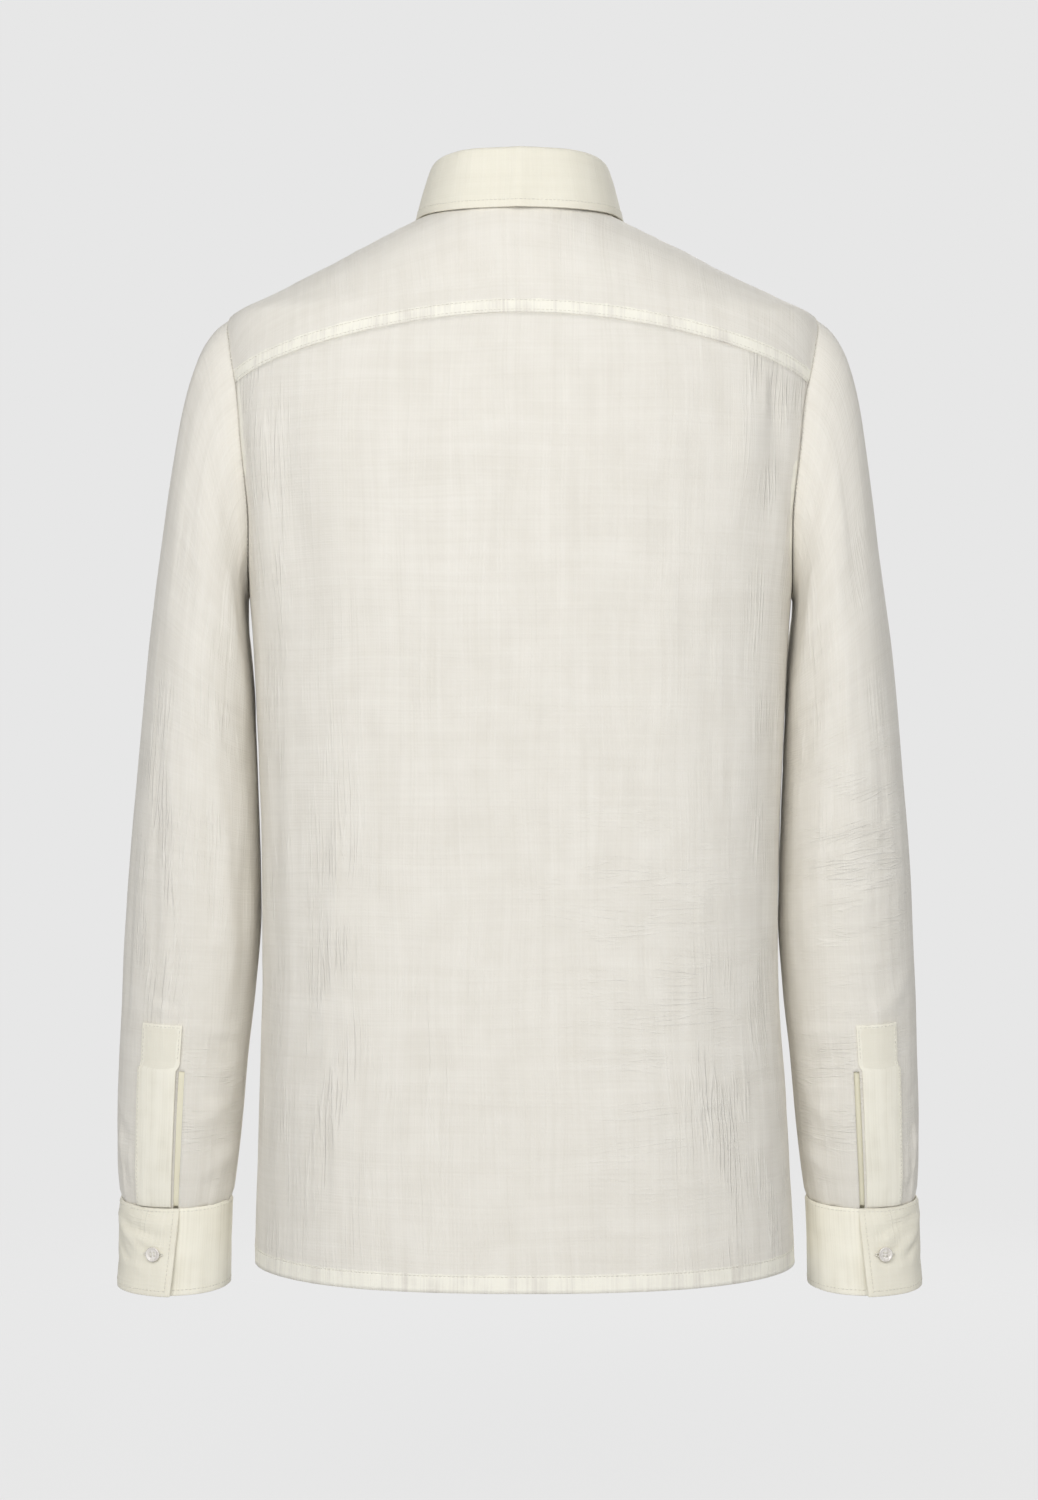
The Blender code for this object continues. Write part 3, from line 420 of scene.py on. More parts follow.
class Piece:
    """One piece of cloth: a fine grid that is laid on the form, then given a wall."""

    name = solid = "piece"
    columns = rows = 10
    wall = 0.8
    finish = Finish.GAUZE
    strips: tuple[Strip, ...] = ()
    stitched: tuple[Strip, ...] = ()
    closed = rounded = mirrored = False
    seed = 1
    seeds = (1, 1)         # where there are two: the left one's and the right one's
    fine = 0.34            # depth of the crinkle that is modelled
    spread = (100.0, 100.0)
    rests_on: tuple[str, ...] = ()
    cut = (0.1, 0.1, 0.01)
    outside = -30.0        # said of a place far from all doubled cloth
    samples = 160          # places read along an edge
    probe = 0.02           # share of the grid over which its pitch is measured

    def __init__(self, side: str = "") -> None:
        """Take the wearer's left or right piece, where there are two."""
        if side:
            self.mirrored = side == "right"
            self.name, self.solid = f"{self.name}_{side}", f"{self.solid}_{side}"
            self.seed = self.seeds[self.mirrored]
            self.rests_on = tuple(one.format(side=side) for one in self.rests_on)

    def lay(self, u: Array, v: Array, out: Array) -> Array:
        """Place of the cloth in millimetres, at shares of its grid, moved out by some distance."""
        raise NotImplementedError

    def flat(self, u: Array, v: Array) -> Array:
        """Place on the flat cloth, in millimetres."""
        return join(u * self.spread[0], v * self.spread[1])

    def zones(self, points: Array) -> tuple[Array, Array]:
        """How much upright and how much level crinkle each place has, from 0 to 1."""
        return np.full(len(points), 0.2), np.full(len(points), 0.1)

    def open_cells(self, u: Array, v: Array) -> Array:
        """Which cells stay open, by the shares at their middles."""
        return np.zeros(u.shape, bool)

    def crinkle(self, u: Array, v: Array) -> Array:
        """Height of the small upright puckers of double gauze."""
        a, b = np.moveaxis(self.flat(u, v), -1, 0)
        wander = rumple(a, b, 30, 45, self.seed + 5) * 5
        fine = rumple(a + wander, b, 6.5, 42, self.seed)
        broad, low = rumple(a, b, 38, 150, self.seed + 1), rumple(a, b, 17, 60, self.seed + 2)
        return (fine * self.fine + broad * 0.81 + low * 0.27) * self.slack(u, v)

    def slack(self, u: Array, v: Array) -> Array:
        """Share of the crinkle that is left, less where seams hold the cloth."""
        return np.ones(u.shape)

    @staticmethod
    def near(away: Array, reach: float, left: float) -> Array:
        """Share that a seam leaves, up to its reach."""
        return left + (1 - left) * smooth_step(away / reach)

    def surface(self, u: Array, v: Array, out: float = 0.0) -> Array:
        """Finished place in millimetres, with crinkle, side and lean."""
        return self.lay(u, v, out + self.crinkle(u, v))

    def edge_line(self, strip: Strip, inset: float = 0.0, pitch: float = 1.0,
                  out: float = 0.0) -> tuple[Array, Array]:
        """Places along an edge, or along a line a given distance in from it.

        Args:
            strip: which edge, and from where to where.
            inset: distance from the edge in millimetres.
            pitch: distance between places.
            out: distance off the cloth.

        Returns:
            The places in millimetres, and the ways out of the cloth there.
        """
        along = np.linspace(strip.start, strip.end, self.samples)
        share = np.zeros(len(along))
        if inset:
            near, far = (self.lay(*strip.edge.at(along, off), np.zeros(len(along)))
                         for off in (0.0, self.probe))
            share = inset * self.probe / np.linalg.norm(far - near, axis=-1)
        points = self.surface(*strip.edge.at(along, share), out=out)
        length = np.concatenate(([0], np.cumsum(np.linalg.norm(np.diff(points, axis=0), axis=-1))))
        ticks = np.arange(pitch / 2, length[-1], pitch)
        shares = strip.edge.at(np.interp(ticks, length, along), np.interp(ticks, length, share))
        here = self.surface(*shares, out=out)
        return here, unit(self.surface(*shares, out=out + 1.0) - here)

    def into_strip(self, points: Array) -> Array:
        """How many millimetres each place lies inside doubled cloth, or outside where negative."""
        best = np.full(len(points), self.outside)
        for strip in self.strips:
            line = self.edge_line(strip)[0]
            tree = KDTree(len(line))
            for index, place in enumerate(line):
                tree.insert(Vector(place), index)
            tree.balance()
            away = np.array([tree.find(Vector(point))[2] for point in points])
            best = np.maximum(best, strip.width - away)
        return best

    def build(self) -> bpy.types.Object:
        """Make the piece.

        Returns:
            Its object, standing for its solid.
        """
        mesh = bmesh.new()
        bmesh.ops.create_grid(mesh, x_segments=self.columns, y_segments=self.rows, size=1.0)
        shares = np.array([vert.co[:2] for vert in mesh.verts]) / 2 + 0.5
        u, v = shares[:, 0], shares[:, 1]
        points, flat = self.surface(u, v), self.flat(u, v) * MM
        strip = self.into_strip(points)
        upright, level = self.zones(points)
        middles = np.array([face.calc_center_median()[:2] for face in mesh.faces]) / 2 + 0.5
        shut = self.open_cells(middles[:, 0], middles[:, 1])
        cloth_map = mesh.loops.layers.uv.new("Cloth")
        layers = [(mesh.verts.layers.float.new(name), values) for name, values in
                  (("strip", strip), ("upright", upright), ("level", level))]
        for index, vert in enumerate(mesh.verts):
            vert.co = points[index] * MM
            for layer, values in layers:
                vert[layer] = values[index]
        for face in mesh.faces:
            for loop in face.loops:
                loop[cloth_map].uv = flat[loop.vert.index]
        gone = [face for face, drop in zip(mesh.faces, shut) if drop]
        bmesh.ops.delete(mesh, geom=gone, context="FACES")
        if self.closed:
            bmesh.ops.remove_doubles(mesh, verts=mesh.verts, dist=0.02 * MM)
        if self.mirrored:
            bmesh.ops.reverse_faces(mesh, faces=mesh.faces)
        data = Workshop.mesh_data(mesh, self.name)
        data.shade_smooth()
        thing = Workshop.add(self.name, data, self.finish)
        wall = thing.modifiers.new("Wall", "SOLIDIFY")
        wall.thickness, wall.offset, wall.use_quality_normals = self.wall * MM, 0.0, True
        if self.rounded:
            soft = thing.modifiers.new("Turned edge", "BEVEL")
            soft.width, soft.segments, soft.limit_method = self.wall * 0.42 * MM, 2, "ANGLE"
            soft.angle_limit = radians(50)
        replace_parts(thing, self.solid)
        return thing


class Workshop:
    """Adds finished meshes to the scene and keeps the materials."""

    finishes: dict[Finish, bpy.types.Material] = {}

    @staticmethod
    def mesh_data(mesh: bmesh.types.BMesh, name: str) -> bpy.types.Mesh:
        """Turn a working mesh into mesh data, and free it."""
        data = bpy.data.meshes.new(name)
        mesh.to_mesh(data)
        mesh.free()
        return data

    @staticmethod
    def link(name: str, data: bpy.types.ID) -> bpy.types.Object:
        """Put a mesh, light or camera in the scene."""
        thing = bpy.data.objects.new(name, data)
        bpy.context.scene.collection.objects.link(thing)
        return thing

    @classmethod
    def add(cls, name: str, data: bpy.types.Mesh, finish: Finish) -> bpy.types.Object:
        """Put a mesh in the scene as a piece that goes with the shirt."""
        data.materials.append(cls.finishes[finish])
        thing = cls.link(name, data)
        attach(thing, BODY)
        return thing


# The body's pieces

class BodyPiece(Piece):
    """A piece whose cloth lies on the body's surface."""

    form = BodyForm()
    drape = BodyDrape()
    lap_side = 0
    side_length = 710.0
    split = 0.765          # share of a side edge that is the side seam; the armhole follows

    def chart(self, u: Array, v: Array) -> Array:
        """Chart place, across and height, at shares of the grid."""
        raise NotImplementedError

    def lay(self, u: Array, v: Array, out: Array) -> Array:
        """Place of the cloth, as Piece asks."""
        return self.place(*np.moveaxis(self.chart(u, v), -1, 0), out)

    def place(self, across: Array, height: Array, out: Array) -> Array:
        """Place of the cloth at a chart place, moved out by some distance."""
        points = self.form.point(across, height)
        lift = self.drape.lift(points) * self.form.hold(across, height) + out
        if self.lap_side:
            lift = lift + self.form.front_lap(points, self.lap_side)
        return sway(points + self.form.normal(across, height) * lift[..., None], "body")

    def flat(self, u: Array, v: Array) -> Array:
        """Place on the flat cloth."""
        return self.chart(u, v) * (HALF_LOOP, 1)

    def fill(self, u: Array, v: Array, start: Array, end: Array, bottom: Array, top: Array,
             corners: tuple[Array, Array, Array, Array]) -> Array:
        """Blend four rows of chart places over the grid.

        Args:
            u, v: shares of the grid.
            start, end: chart places on the two side edges, at each v.
            bottom, top: chart places on the lower and upper edge, at each u.
            corners: the ends of bottom, then those of top.

        Returns:
            The chart places.
        """
        s, t = u[..., None], v[..., None] ** 3
        sag = bottom - ((1 - s) * corners[0] + s * corners[1])
        bend = top - ((1 - s) * corners[2] + s * corners[3])
        return (1 - s) * start + s * end + (1 - t) * sag + t * bend

    def side_edge(self, v: Array, corner: float, behind: bool) -> Array:
        """Chart place up the side seam and then round the armhole to a corner."""
        seam = HEM + (UNDERARM - HEM) * np.clip(v / self.split, 0, 1)
        past = np.clip((v - self.split) / (1 - self.split), 0, 1)
        round_hole = self.form.armhole(180 + (corner - 180) * past, behind)
        side = join(0.5, seam)
        return np.where((v < self.split)[..., None], side, round_hole)


class Back(BodyPiece):
    """The back, one piece from side seam to side seam."""

    name, solid = "gauze_back", "back"
    columns, rows = 164, 212
    strips = (Strip(Edge.LOW, 12.0), Strip(Edge.START, 6.0, 0.79, 0.93),
              Strip(Edge.END, 6.0, 0.93, 1.0))
    stitched = (Strip(Edge.LOW, 10.8),)
    rests_on = ("yoke", "front_left", "front_right")
    cut = (0.505, 0.665, 0.300)
    middle_length = 640.0
    seed = 11

    def chart(self, u: Array, v: Array) -> Array:
        """Chart place, as BodyPiece asks."""
        share = u * 2 - 1
        left, corner = self.side_edge(v, BACK_CORNER, True), self.form.yoke_seam(np.asarray(1.0))
        flip = np.array((-1.0, 1.0))
        bottom = join(share * 0.5, HEM)
        low = np.array((0.5, HEM))
        return self.fill(u, v, left * flip, left, bottom, self.form.yoke_seam(share),
                         (low * flip, low, corner * flip, corner))

    def zones(self, points: Array) -> tuple[Array, Array]:
        """Upright crinkle down the sides and low on the wearer's right, level crinkle beside it."""
        x, z = points[:, 0], points[:, 2]
        side = smooth_step((np.abs(x) - 145) / 20) * 0.8
        upright = spots(x, z, (125, -600, 22, 150), (120, -440, 14, 110, 0.6),
                        (-132, -620, 22, 95, 1.3), (-166, -130, 12, 60), (60, -600, 40, 110, 0.4))
        level = spots(x, z, (-95, -560, 60, 110, 0.7), (-60, -450, 70, 50, 0.4))
        return np.clip(0.12 + side + upright, 0, 1.2), np.clip(0.08 + level, 0, 1)

    def slack(self, u: Array, v: Array) -> Array:
        """Less crinkle at the hem and the yoke seam."""
        from_yoke = (1 - v) * self.middle_length
        return self.near(v * self.side_length, 16, 0.45) * self.near(from_yoke, 9, 0.3)


class Yoke(BodyPiece):
    """The shaped piece over both shoulders, whose lower edge lies over back and fronts."""

    name, solid = "gauze_yoke", "yoke"
    columns, rows = 204, 44
    wall = 0.9
    strips = (Strip(Edge.LOW, 9.5, 0.19, 0.81),)
    stitched = (Strip(Edge.LOW, 1.8), Strip(Edge.LOW, 8.6, 0.19, 0.81))
    rests_on = ("collar_stand", "sleeve_left", "sleeve_right")
    cut = (0.44, 0.25, 0.055)
    seed = 21
    back_share = 0.62      # of half the lower edge that is the back seam
    depth = 120.0
    bend_middle, bend_radius = -150.0, 140.0   # of the bend over the shoulders, seen from a side

    def chart(self, u: Array, v: Array) -> Array:
        """Chart place, as BodyPiece asks."""
        share = u * 2 - 1
        side, away = np.where(share < 0, -1.0, 1.0), np.abs(share)
        on_back = away < self.back_share
        seam = self.form.yoke_seam(np.clip(away / self.back_share, 0, 1))
        past = (away - self.back_share) / (1 - self.back_share)
        turn = BACK_CORNER - (BACK_CORNER + FRONT_CORNER) * past
        hole = np.where((turn >= 0)[..., None], self.form.armhole(np.abs(turn), True),
                        self.form.armhole(np.abs(turn), False))
        low = np.where(on_back[..., None], seam, hole)
        reach = np.where(on_back, away / self.back_share * BACK_NECK,
                         BACK_NECK + (NECK_CORNER - BACK_NECK) * past)
        high = join(reach, NECK)
        rise = v[..., None]
        return (low * (1 - rise) + high * rise) * join(side, 1.0)

    def lay(self, u: Array, v: Array, out: Array) -> Array:
        """The turned seam allowance lifts the lower edge off what it lies on."""
        seam = np.abs(u * 2 - 1) < self.back_share
        lift = np.where(seam, 0.45, 0.2) * fade(v * self.depth / 10)
        return super().lay(u, v, out + lift)

    def flat(self, u: Array, v: Array) -> Array:
        """Its grain runs from the back over the shoulder to the front."""
        points = self.form.point(*np.moveaxis(self.chart(u, v), -1, 0))
        along = np.arctan2(points[..., 1], points[..., 2] - self.bend_middle) * -self.bend_radius
        return join(points[..., 0], along)

    def slack(self, u: Array, v: Array) -> Array:
        """Doubled cloth at the seam and the neck lies flatter."""
        inside = self.near(v * self.depth, 14, 0.0) * self.near((1 - v) * self.depth, 12, 0.0)
        return 0.35 + 0.5 * inside


class Front(BodyPiece):
    """One front, from its side seam to its lapped edge."""

    name, solid, seeds = "gauze_front", "front", (31, 36)
    columns, rows = 92, 214
    shoulder_share = 0.585  # of the upper edge that is the yoke seam
    wide, band = 265.0, 26.0
    strips = (Strip(Edge.LOW, 12.0), Strip(Edge.END, 30.0))
    stitched = (Strip(Edge.LOW, 10.8), Strip(Edge.END, 3.0), Strip(Edge.END, 28.6))
    rests_on = ("yoke", "back")
    cut = (0.275, 0.705, 0.172)

    def __init__(self, side: str) -> None:
        """Take a side, which also says which way the front laps."""
        super().__init__(side)
        self.lap_side = -1 if self.mirrored else 1

    def chart(self, u: Array, v: Array) -> Array:
        """Chart place, as BodyPiece asks."""
        past = FRONT_LAP / self.form.half_loop(HEM)
        neck_past = FRONT_LAP / self.form.half_loop(NECK)
        edge = self.side_edge(v, FRONT_CORNER, False)
        heights = np.interp(v, (0, self.split, 1), (HEM, UNDERARM, NECK))
        keys = np.linspace(HEM, NECK, 31)
        lap = np.interp(heights, keys, [1 + FRONT_LAP / self.form.half_loop(one) for one in keys])
        bottom = join(0.5 + (0.5 + past) * u, HEM)
        hole = self.form.armhole(np.asarray(FRONT_CORNER), False)
        corner, part = np.array((NECK_CORNER, NECK)), self.shoulder_share
        seam = hole + (corner - hole) * np.clip(u / part, 0, 1)[..., None]
        neck = join(np.interp(u, (part, 1), (NECK_CORNER, 1 + neck_past)), NECK)
        top = np.where((u < part)[..., None], seam, neck)
        corners = (np.array((0.5, HEM)), np.array((1 + past, HEM)), hole,
                   np.array((1 + neck_past, NECK)))
        chart = self.fill(u, v, edge, join(lap, heights), bottom, top, corners)
        return chart * (self.lap_side, 1)

    def zones(self, points: Array) -> tuple[Array, Array]:
        """Much as on the back."""
        x, z = np.abs(points[:, 0]), points[:, 2]
        side = smooth_step((x - 145) / 20) * 0.8
        upright = spots(x, z, (110, -600, 30, 130), (70, -330, 20, 100, 0.5))
        level = spots(x, z, (100, -500, 50, 90, 0.7))
        return np.clip(0.15 + side + upright, 0, 1.2), np.clip(0.08 + level, 0, 1)

    def slack(self, u: Array, v: Array) -> Array:
        """Less crinkle at the hem and in the front band."""
        band = self.near((1 - u) * self.wide - self.band, 8, 0.35)
        return self.near(v * self.side_length, 16, 0.45) * band * self.near((1 - v) * 70, 1, 0.3)


# Sleeves

class SleeveForm:
    """The left sleeve's surface, by degrees round it from its outer side and share of length."""

    rings = rows(
        TubeRing, (201.0, -73, 186.0, -266, 2, 46, 0), (211.5, -82, 187.2, -269, 2, 49, 0),
        (221.5, -98, 187.4, -273, 1, 52, 0), (230.0, -126, 187.2, -280, 0, 55, 0),
        (237.2, -168, 186.6, -290, 0, 58, 0), (244.0, -215, 185.6, -306, -1, 60, 0),
        (251.5, -268, 184.3, -330, -2, 60, 0), (259.2, -335, 182.5, -372, -4, 59, 0),
        (265.5, -405, 180.6, -428, -6, 57, 0), (270.4, -475, 179.6, -485, -8, 54, 1),
        (273.4, -530, 183.2, -535, -10, 51, 2), (275.4, -580, 188.2, -582, -11, 47, 3),
        (276.6, -625, 192.2, -626, -12, 43, 4), (276.8, -655, 195.6, -655, -13, 38, 4.5),
        (275.8, -678.5, 199.0, -678.5, -14, 33, 4.6))
    cuff_rings = rows(
        TubeRing, (275.8, -679.0, 199.0, -679.0, -14, 33, 4.6),
        (277.4, -738.5, 200.6, -738.5, -14, 33.5, 4.8))
    off_top, off_under, blend = 0.3, 1.7, 0.30
    slit_turn, slit_half, slit_top = 94.0, 2.6, 0.825
    turn_mm, length_mm = 0.95, 600.0
    body = BodyForm()

    def stations(self) -> Array:
        """How far along the sleeve each ring is, from 0 to 1."""
        ends = np.array([ring[:4] for ring in self.rings])
        lengths = np.cumsum(np.linalg.norm(np.diff(ends, axis=0), axis=-1))
        return np.concatenate(([0.0], lengths / lengths[-1]))

    @staticmethod
    def tube(rings: tuple, stations: Iterable[float], turn: Array, share: Array,
             size: Array) -> Array:
        """Place on a tube of rings that is made larger all round by size."""
        read = {name: read_curve(stations, [getattr(ring, name) for ring in rings], share)
                for name in TubeRing._fields}
        swing, lift = np.cos(np.radians(turn)), np.sin(np.radians(turn))
        width_x = (read["outer_x"] - read["inner_x"]) / 2
        width_z = (read["outer_z"] - read["inner_z"]) / 2
        grown = 1 + size / np.hypot(width_x, width_z)
        x = (read["outer_x"] + read["inner_x"]) / 2 + width_x * swing * grown
        z = (read["outer_z"] + read["inner_z"]) / 2 + width_z * swing - read["back_drop"] * lift
        return join(x, read["middle_y"] + (read["half_depth"] + size) * lift, z)

    def armhole(self, turn: Array) -> Array:
        """Place on the armhole seam, moved out to where the sleeve starts."""
        turn = np.mod(turn, 360)
        behind = turn <= 180
        down = np.where(behind, turn, 360 - turn)
        back, front = self.body.armhole(down, True), self.body.armhole(down, False)
        chart = np.where(behind[..., None], back, front)
        seam = self.body.point(chart[..., 0], chart[..., 1])
        under = (1 - np.cos(np.radians(down))) / 2
        seam[..., 0] += self.off_top + (self.off_under - self.off_top) * under
        return seam

    def point(self, turn: Array, share: Array) -> Array:
        """Place of the cloth, without its folds."""
        turn, share = np.broadcast_arrays(np.asarray(turn, float), np.asarray(share, float))
        stations = self.stations()
        points = self.tube(self.rings, stations, turn, share, 0.0)
        start = self.tube(self.rings, stations, turn, np.zeros_like(share), 0.0)
        held = fade(share / self.blend)
        return points + (self.armhole(turn) - start) * held[..., None]

    def normal(self, turn: Array, share: Array) -> Array:
        """Outward direction of the cloth."""
        d_turn = self.point(turn + 1.0, share) - self.point(turn - 1.0, share)
        d_share = self.point(turn, share + 0.003) - self.point(turn, share - 0.003)
        return unit(np.cross(d_share, d_turn))


def sleeve_crease_rows(*table: tuple[float, ...]) -> tuple[Crease, ...]:
    """Creases on a sleeve, where each row gives turn and share of both ends."""
    scale = (SleeveForm.turn_mm, SleeveForm.length_mm) * 2
    return crease_rows(*(tuple(np.multiply(row[:4], scale)) + row[4:] for row in table))


class SleevePiece(Piece):
    """A piece whose cloth lies on the sleeve's surface."""

    form = SleeveForm()
    main = sleeve_crease_rows(
        (120, 0.12, 150, 0.34, 2.6, 12), (230, 0.12, 205, 0.32, 2.6, 12),
        (60, 0.10, 78, 0.30, -1.6, 14), (150, 0.86, 100, 0.90, 1.6, 9),
        (170, 0.93, 115, 0.955, 1.6, 8), (20, 0.90, 45, 0.965, 1.8, 8),
        (27, 0.905, 31, 0.99, 1.5, 1.8), (34, 0.90, 38, 0.99, -1.0, 2.4),
        (225, 0.55, 290, 0.60, -2.0, 10), (220, 0.63, 285, 0.66, -2.0, 9))
    left_small = sleeve_crease_rows(
        (58, 0.42, 66, 0.72, -0.9, 5, 4), (70, 0.40, 74, 0.66, 0.9, 5, -4),
        (82, 0.45, 88, 0.74, -0.8, 5, 3), (118, 0.44, 128, 0.76, 1.5, 8, -3),
        (105, 0.40, 112, 0.70, -0.9, 6), (42, 0.30, 50, 0.52, 0.7, 7),
        (148, 0.50, 150, 0.78, -1.0, 7, 4), (30, 0.55, 34, 0.80, -0.7, 6, 3),
        (96, 0.765, 160, 0.775, 0.7, 3.5, 3), (100, 0.79, 165, 0.80, -0.8, 3.5, -3),
        (102, 0.825, 158, 0.82, 0.8, 4, 3), (110, 0.85, 170, 0.865, -0.7, 4, 3),
        (104, 0.885, 150, 0.895, 0.6, 3, -2), (62, 0.725, 92, 0.745, -0.9, 4, 3),
        (58, 0.74, 84, 0.752, 0.7, 3), (12, 0.86, 48, 0.90, 0.6, 4, 3),
        (340, 0.45, 352, 0.70, 0.8, 7), (310, 0.35, 322, 0.62, -0.9, 9),
        (232, 0.58, 286, 0.63, 0.8, 5), (214, 0.70, 270, 0.74, 0.8, 6),
        (250, 0.82, 310, 0.86, -0.8, 6), (255, 0.90, 305, 0.93, 0.8, 5))
    right_small = sleeve_crease_rows(
        (64, 0.38, 60, 0.62, -0.7, 5, 4), (88, 0.30, 84, 0.52, 0.8, 6, -4),
        (108, 0.42, 120, 0.66, -0.8, 6, 3), (50, 0.52, 66, 0.545, 0.6, 3.5),
        (56, 0.575, 110, 0.59, -0.6, 3, 3), (48, 0.61, 100, 0.625, 0.7, 3.5, -3),
        (60, 0.65, 118, 0.655, -0.7, 3, 2), (44, 0.68, 96, 0.695, 0.6, 3.5, 3),
        (30, 0.705, 88, 0.765, 1.5, 8, 3), (96, 0.775, 160, 0.785, 0.8, 3.5, -3),
        (100, 0.805, 162, 0.81, -0.8, 4, 3), (104, 0.84, 164, 0.85, 0.8, 4, 3),
        (108, 0.875, 160, 0.87, -0.7, 3.5, -3), (112, 0.91, 156, 0.92, 0.7, 3.5, 2),
        (14, 0.84, 46, 0.87, -0.7, 4, 3), (20, 0.94, 50, 0.975, 0.8, 4),
        (345, 0.40, 350, 0.66, 0.8, 7), (306, 0.38, 326, 0.60, -0.9, 9),
        (236, 0.56, 280, 0.62, 0.8, 5), (218, 0.71, 280, 0.73, 0.8, 6),
        (246, 0.80, 300, 0.85, -0.8, 6), (250, 0.91, 312, 0.92, 0.8, 5))

    # Shares of the length over which the ends are tucked in, and how far, in millimetres
    armhole_share, cuff_share = 0.012, 0.008
    tuck_top, tuck_under, into_cuff = 0.9, 1.3, 2.5

    def __init__(self, side: str) -> None:
        """Take a side, with its small creases."""
        super().__init__(side)
        self.small = self.right_small if self.mirrored else self.left_small

    def turns(self, u: Array, v: Array) -> tuple[Array, Array]:
        """Turn and share of the sleeve, at shares of the grid."""
        raise NotImplementedError

    def lay(self, u: Array, v: Array, out: Array) -> Array:
        """Place of the cloth, as Piece asks."""
        turn, share = self.turns(u, v)
        a, b = np.mod(turn, 360) * self.form.turn_mm, share * self.form.length_mm
        lift = relief(self.main + self.small, a, b) + out + self.gathers(turn, share)
        points = self.form.point(turn, share) + self.form.normal(turn, share) * lift[..., None]
        ahead, behind = np.where(share < 0.5, 0.01, 0.0), np.where(share < 0.5, 0.0, 0.01)
        along = unit(self.form.point(turn, share + ahead) - self.form.point(turn, share - behind))
        under = (1 - np.cos(np.radians(turn))) / 2
        at_cuff = smooth_step((share - 1) / self.cuff_share + 1)
        at_armhole = fade(share / self.armhole_share)
        tucked = at_cuff * self.into_cuff - at_armhole * (self.tuck_top + self.tuck_under * under)
        return sway(points + along * tucked[..., None], "sleeve", self.mirrored)

    def gathers(self, turn: Array, share: Array) -> Array:
        """Short pleats where the sleeve is drawn into the cuff, and a dip into its seam."""
        near = smooth_step((share - 0.945) / 0.05)
        pleats = rumple(turn * self.form.turn_mm, np.zeros_like(turn), 9, 50, 91) * 0.8
        ends = 1.2 * smooth_step((share - 0.99) / 0.01) + 0.5 * fade(share / self.armhole_share)
        return near * pleats - ends

    def flat(self, u: Array, v: Array) -> Array:
        """Place on the flat sleeve."""
        turn, share = self.turns(u, v)
        return join(turn * self.form.turn_mm, share * self.form.length_mm)


class Sleeve(SleevePiece):
    """One sleeve, with its slit open at the wrist."""

    name, solid, seeds = "gauze_sleeve", "sleeve", (41, 46)
    rests_on = ("yoke", "back", "front_{side}")
    columns, rows = 118, 204
    stitched = (Strip(Edge.LOW, 1.6),)
    closed, round_mm = True, 340.0
    cut = (0.36, 0.62, 0.157)

    def __init__(self, side: str) -> None:
        """Take a side, and find where the slit lies in the grid."""
        super().__init__(side)
        self.first = round((self.form.slit_turn - self.form.slit_half + 180) / 360 * self.columns)
        self.open_row = round(self.form.slit_top * self.rows)

    def turns(self, u: Array, v: Array) -> tuple[Array, Array]:
        """From the inner side round the outer one, with two columns on the slit's edges."""
        form = self.form
        knots = (0, self.first / self.columns, (self.first + 2) / self.columns, 1)
        edges = (form.slit_turn - form.slit_half, form.slit_turn + form.slit_half)
        turn = np.interp(u, knots, (-180, *edges, 180))
        return turn, np.interp(v, (0, self.open_row / self.rows, 1), (0, form.slit_top, 1.0))

    def open_cells(self, u: Array, v: Array) -> Array:
        """The slit."""
        column = u * self.columns
        return (column > self.first) & (column < self.first + 2) & (v * self.rows > self.open_row)

    def zones(self, points: Array) -> tuple[Array, Array]:
        """Upright crinkle down the left sleeve's middle, level crinkle across the right one."""
        x, z = np.abs(points[:, 0]), points[:, 2]
        if self.mirrored:
            upright = spots(x, z, (240, -250, 14, 120, 0.4), (200, -330, 10, 120, 0.5))
            level = spots(x, z, (232, -440, 45, 70), (215, -610, 40, 60))
        else:
            upright = spots(x, z, (245, -450, 18, 130, 1.2), (200, -380, 12, 110, 0.6))
            level = spots(x, z, (215, -620, 40, 60, 0.8))
        return np.clip(0.15 + upright, 0, 1.2), np.clip(0.1 + level, 0, 1)

    def slack(self, u: Array, v: Array) -> Array:
        """Less crinkle at the armhole, the cuff and the seam under the arm."""
        length = self.form.length_mm
        along = v * length
        seam = self.near(np.minimum(u, 1 - u) * self.round_mm, 10, 0.4)
        return self.near(along, 9, 0.3) * self.near(length - along, 8, 0.4) * seam


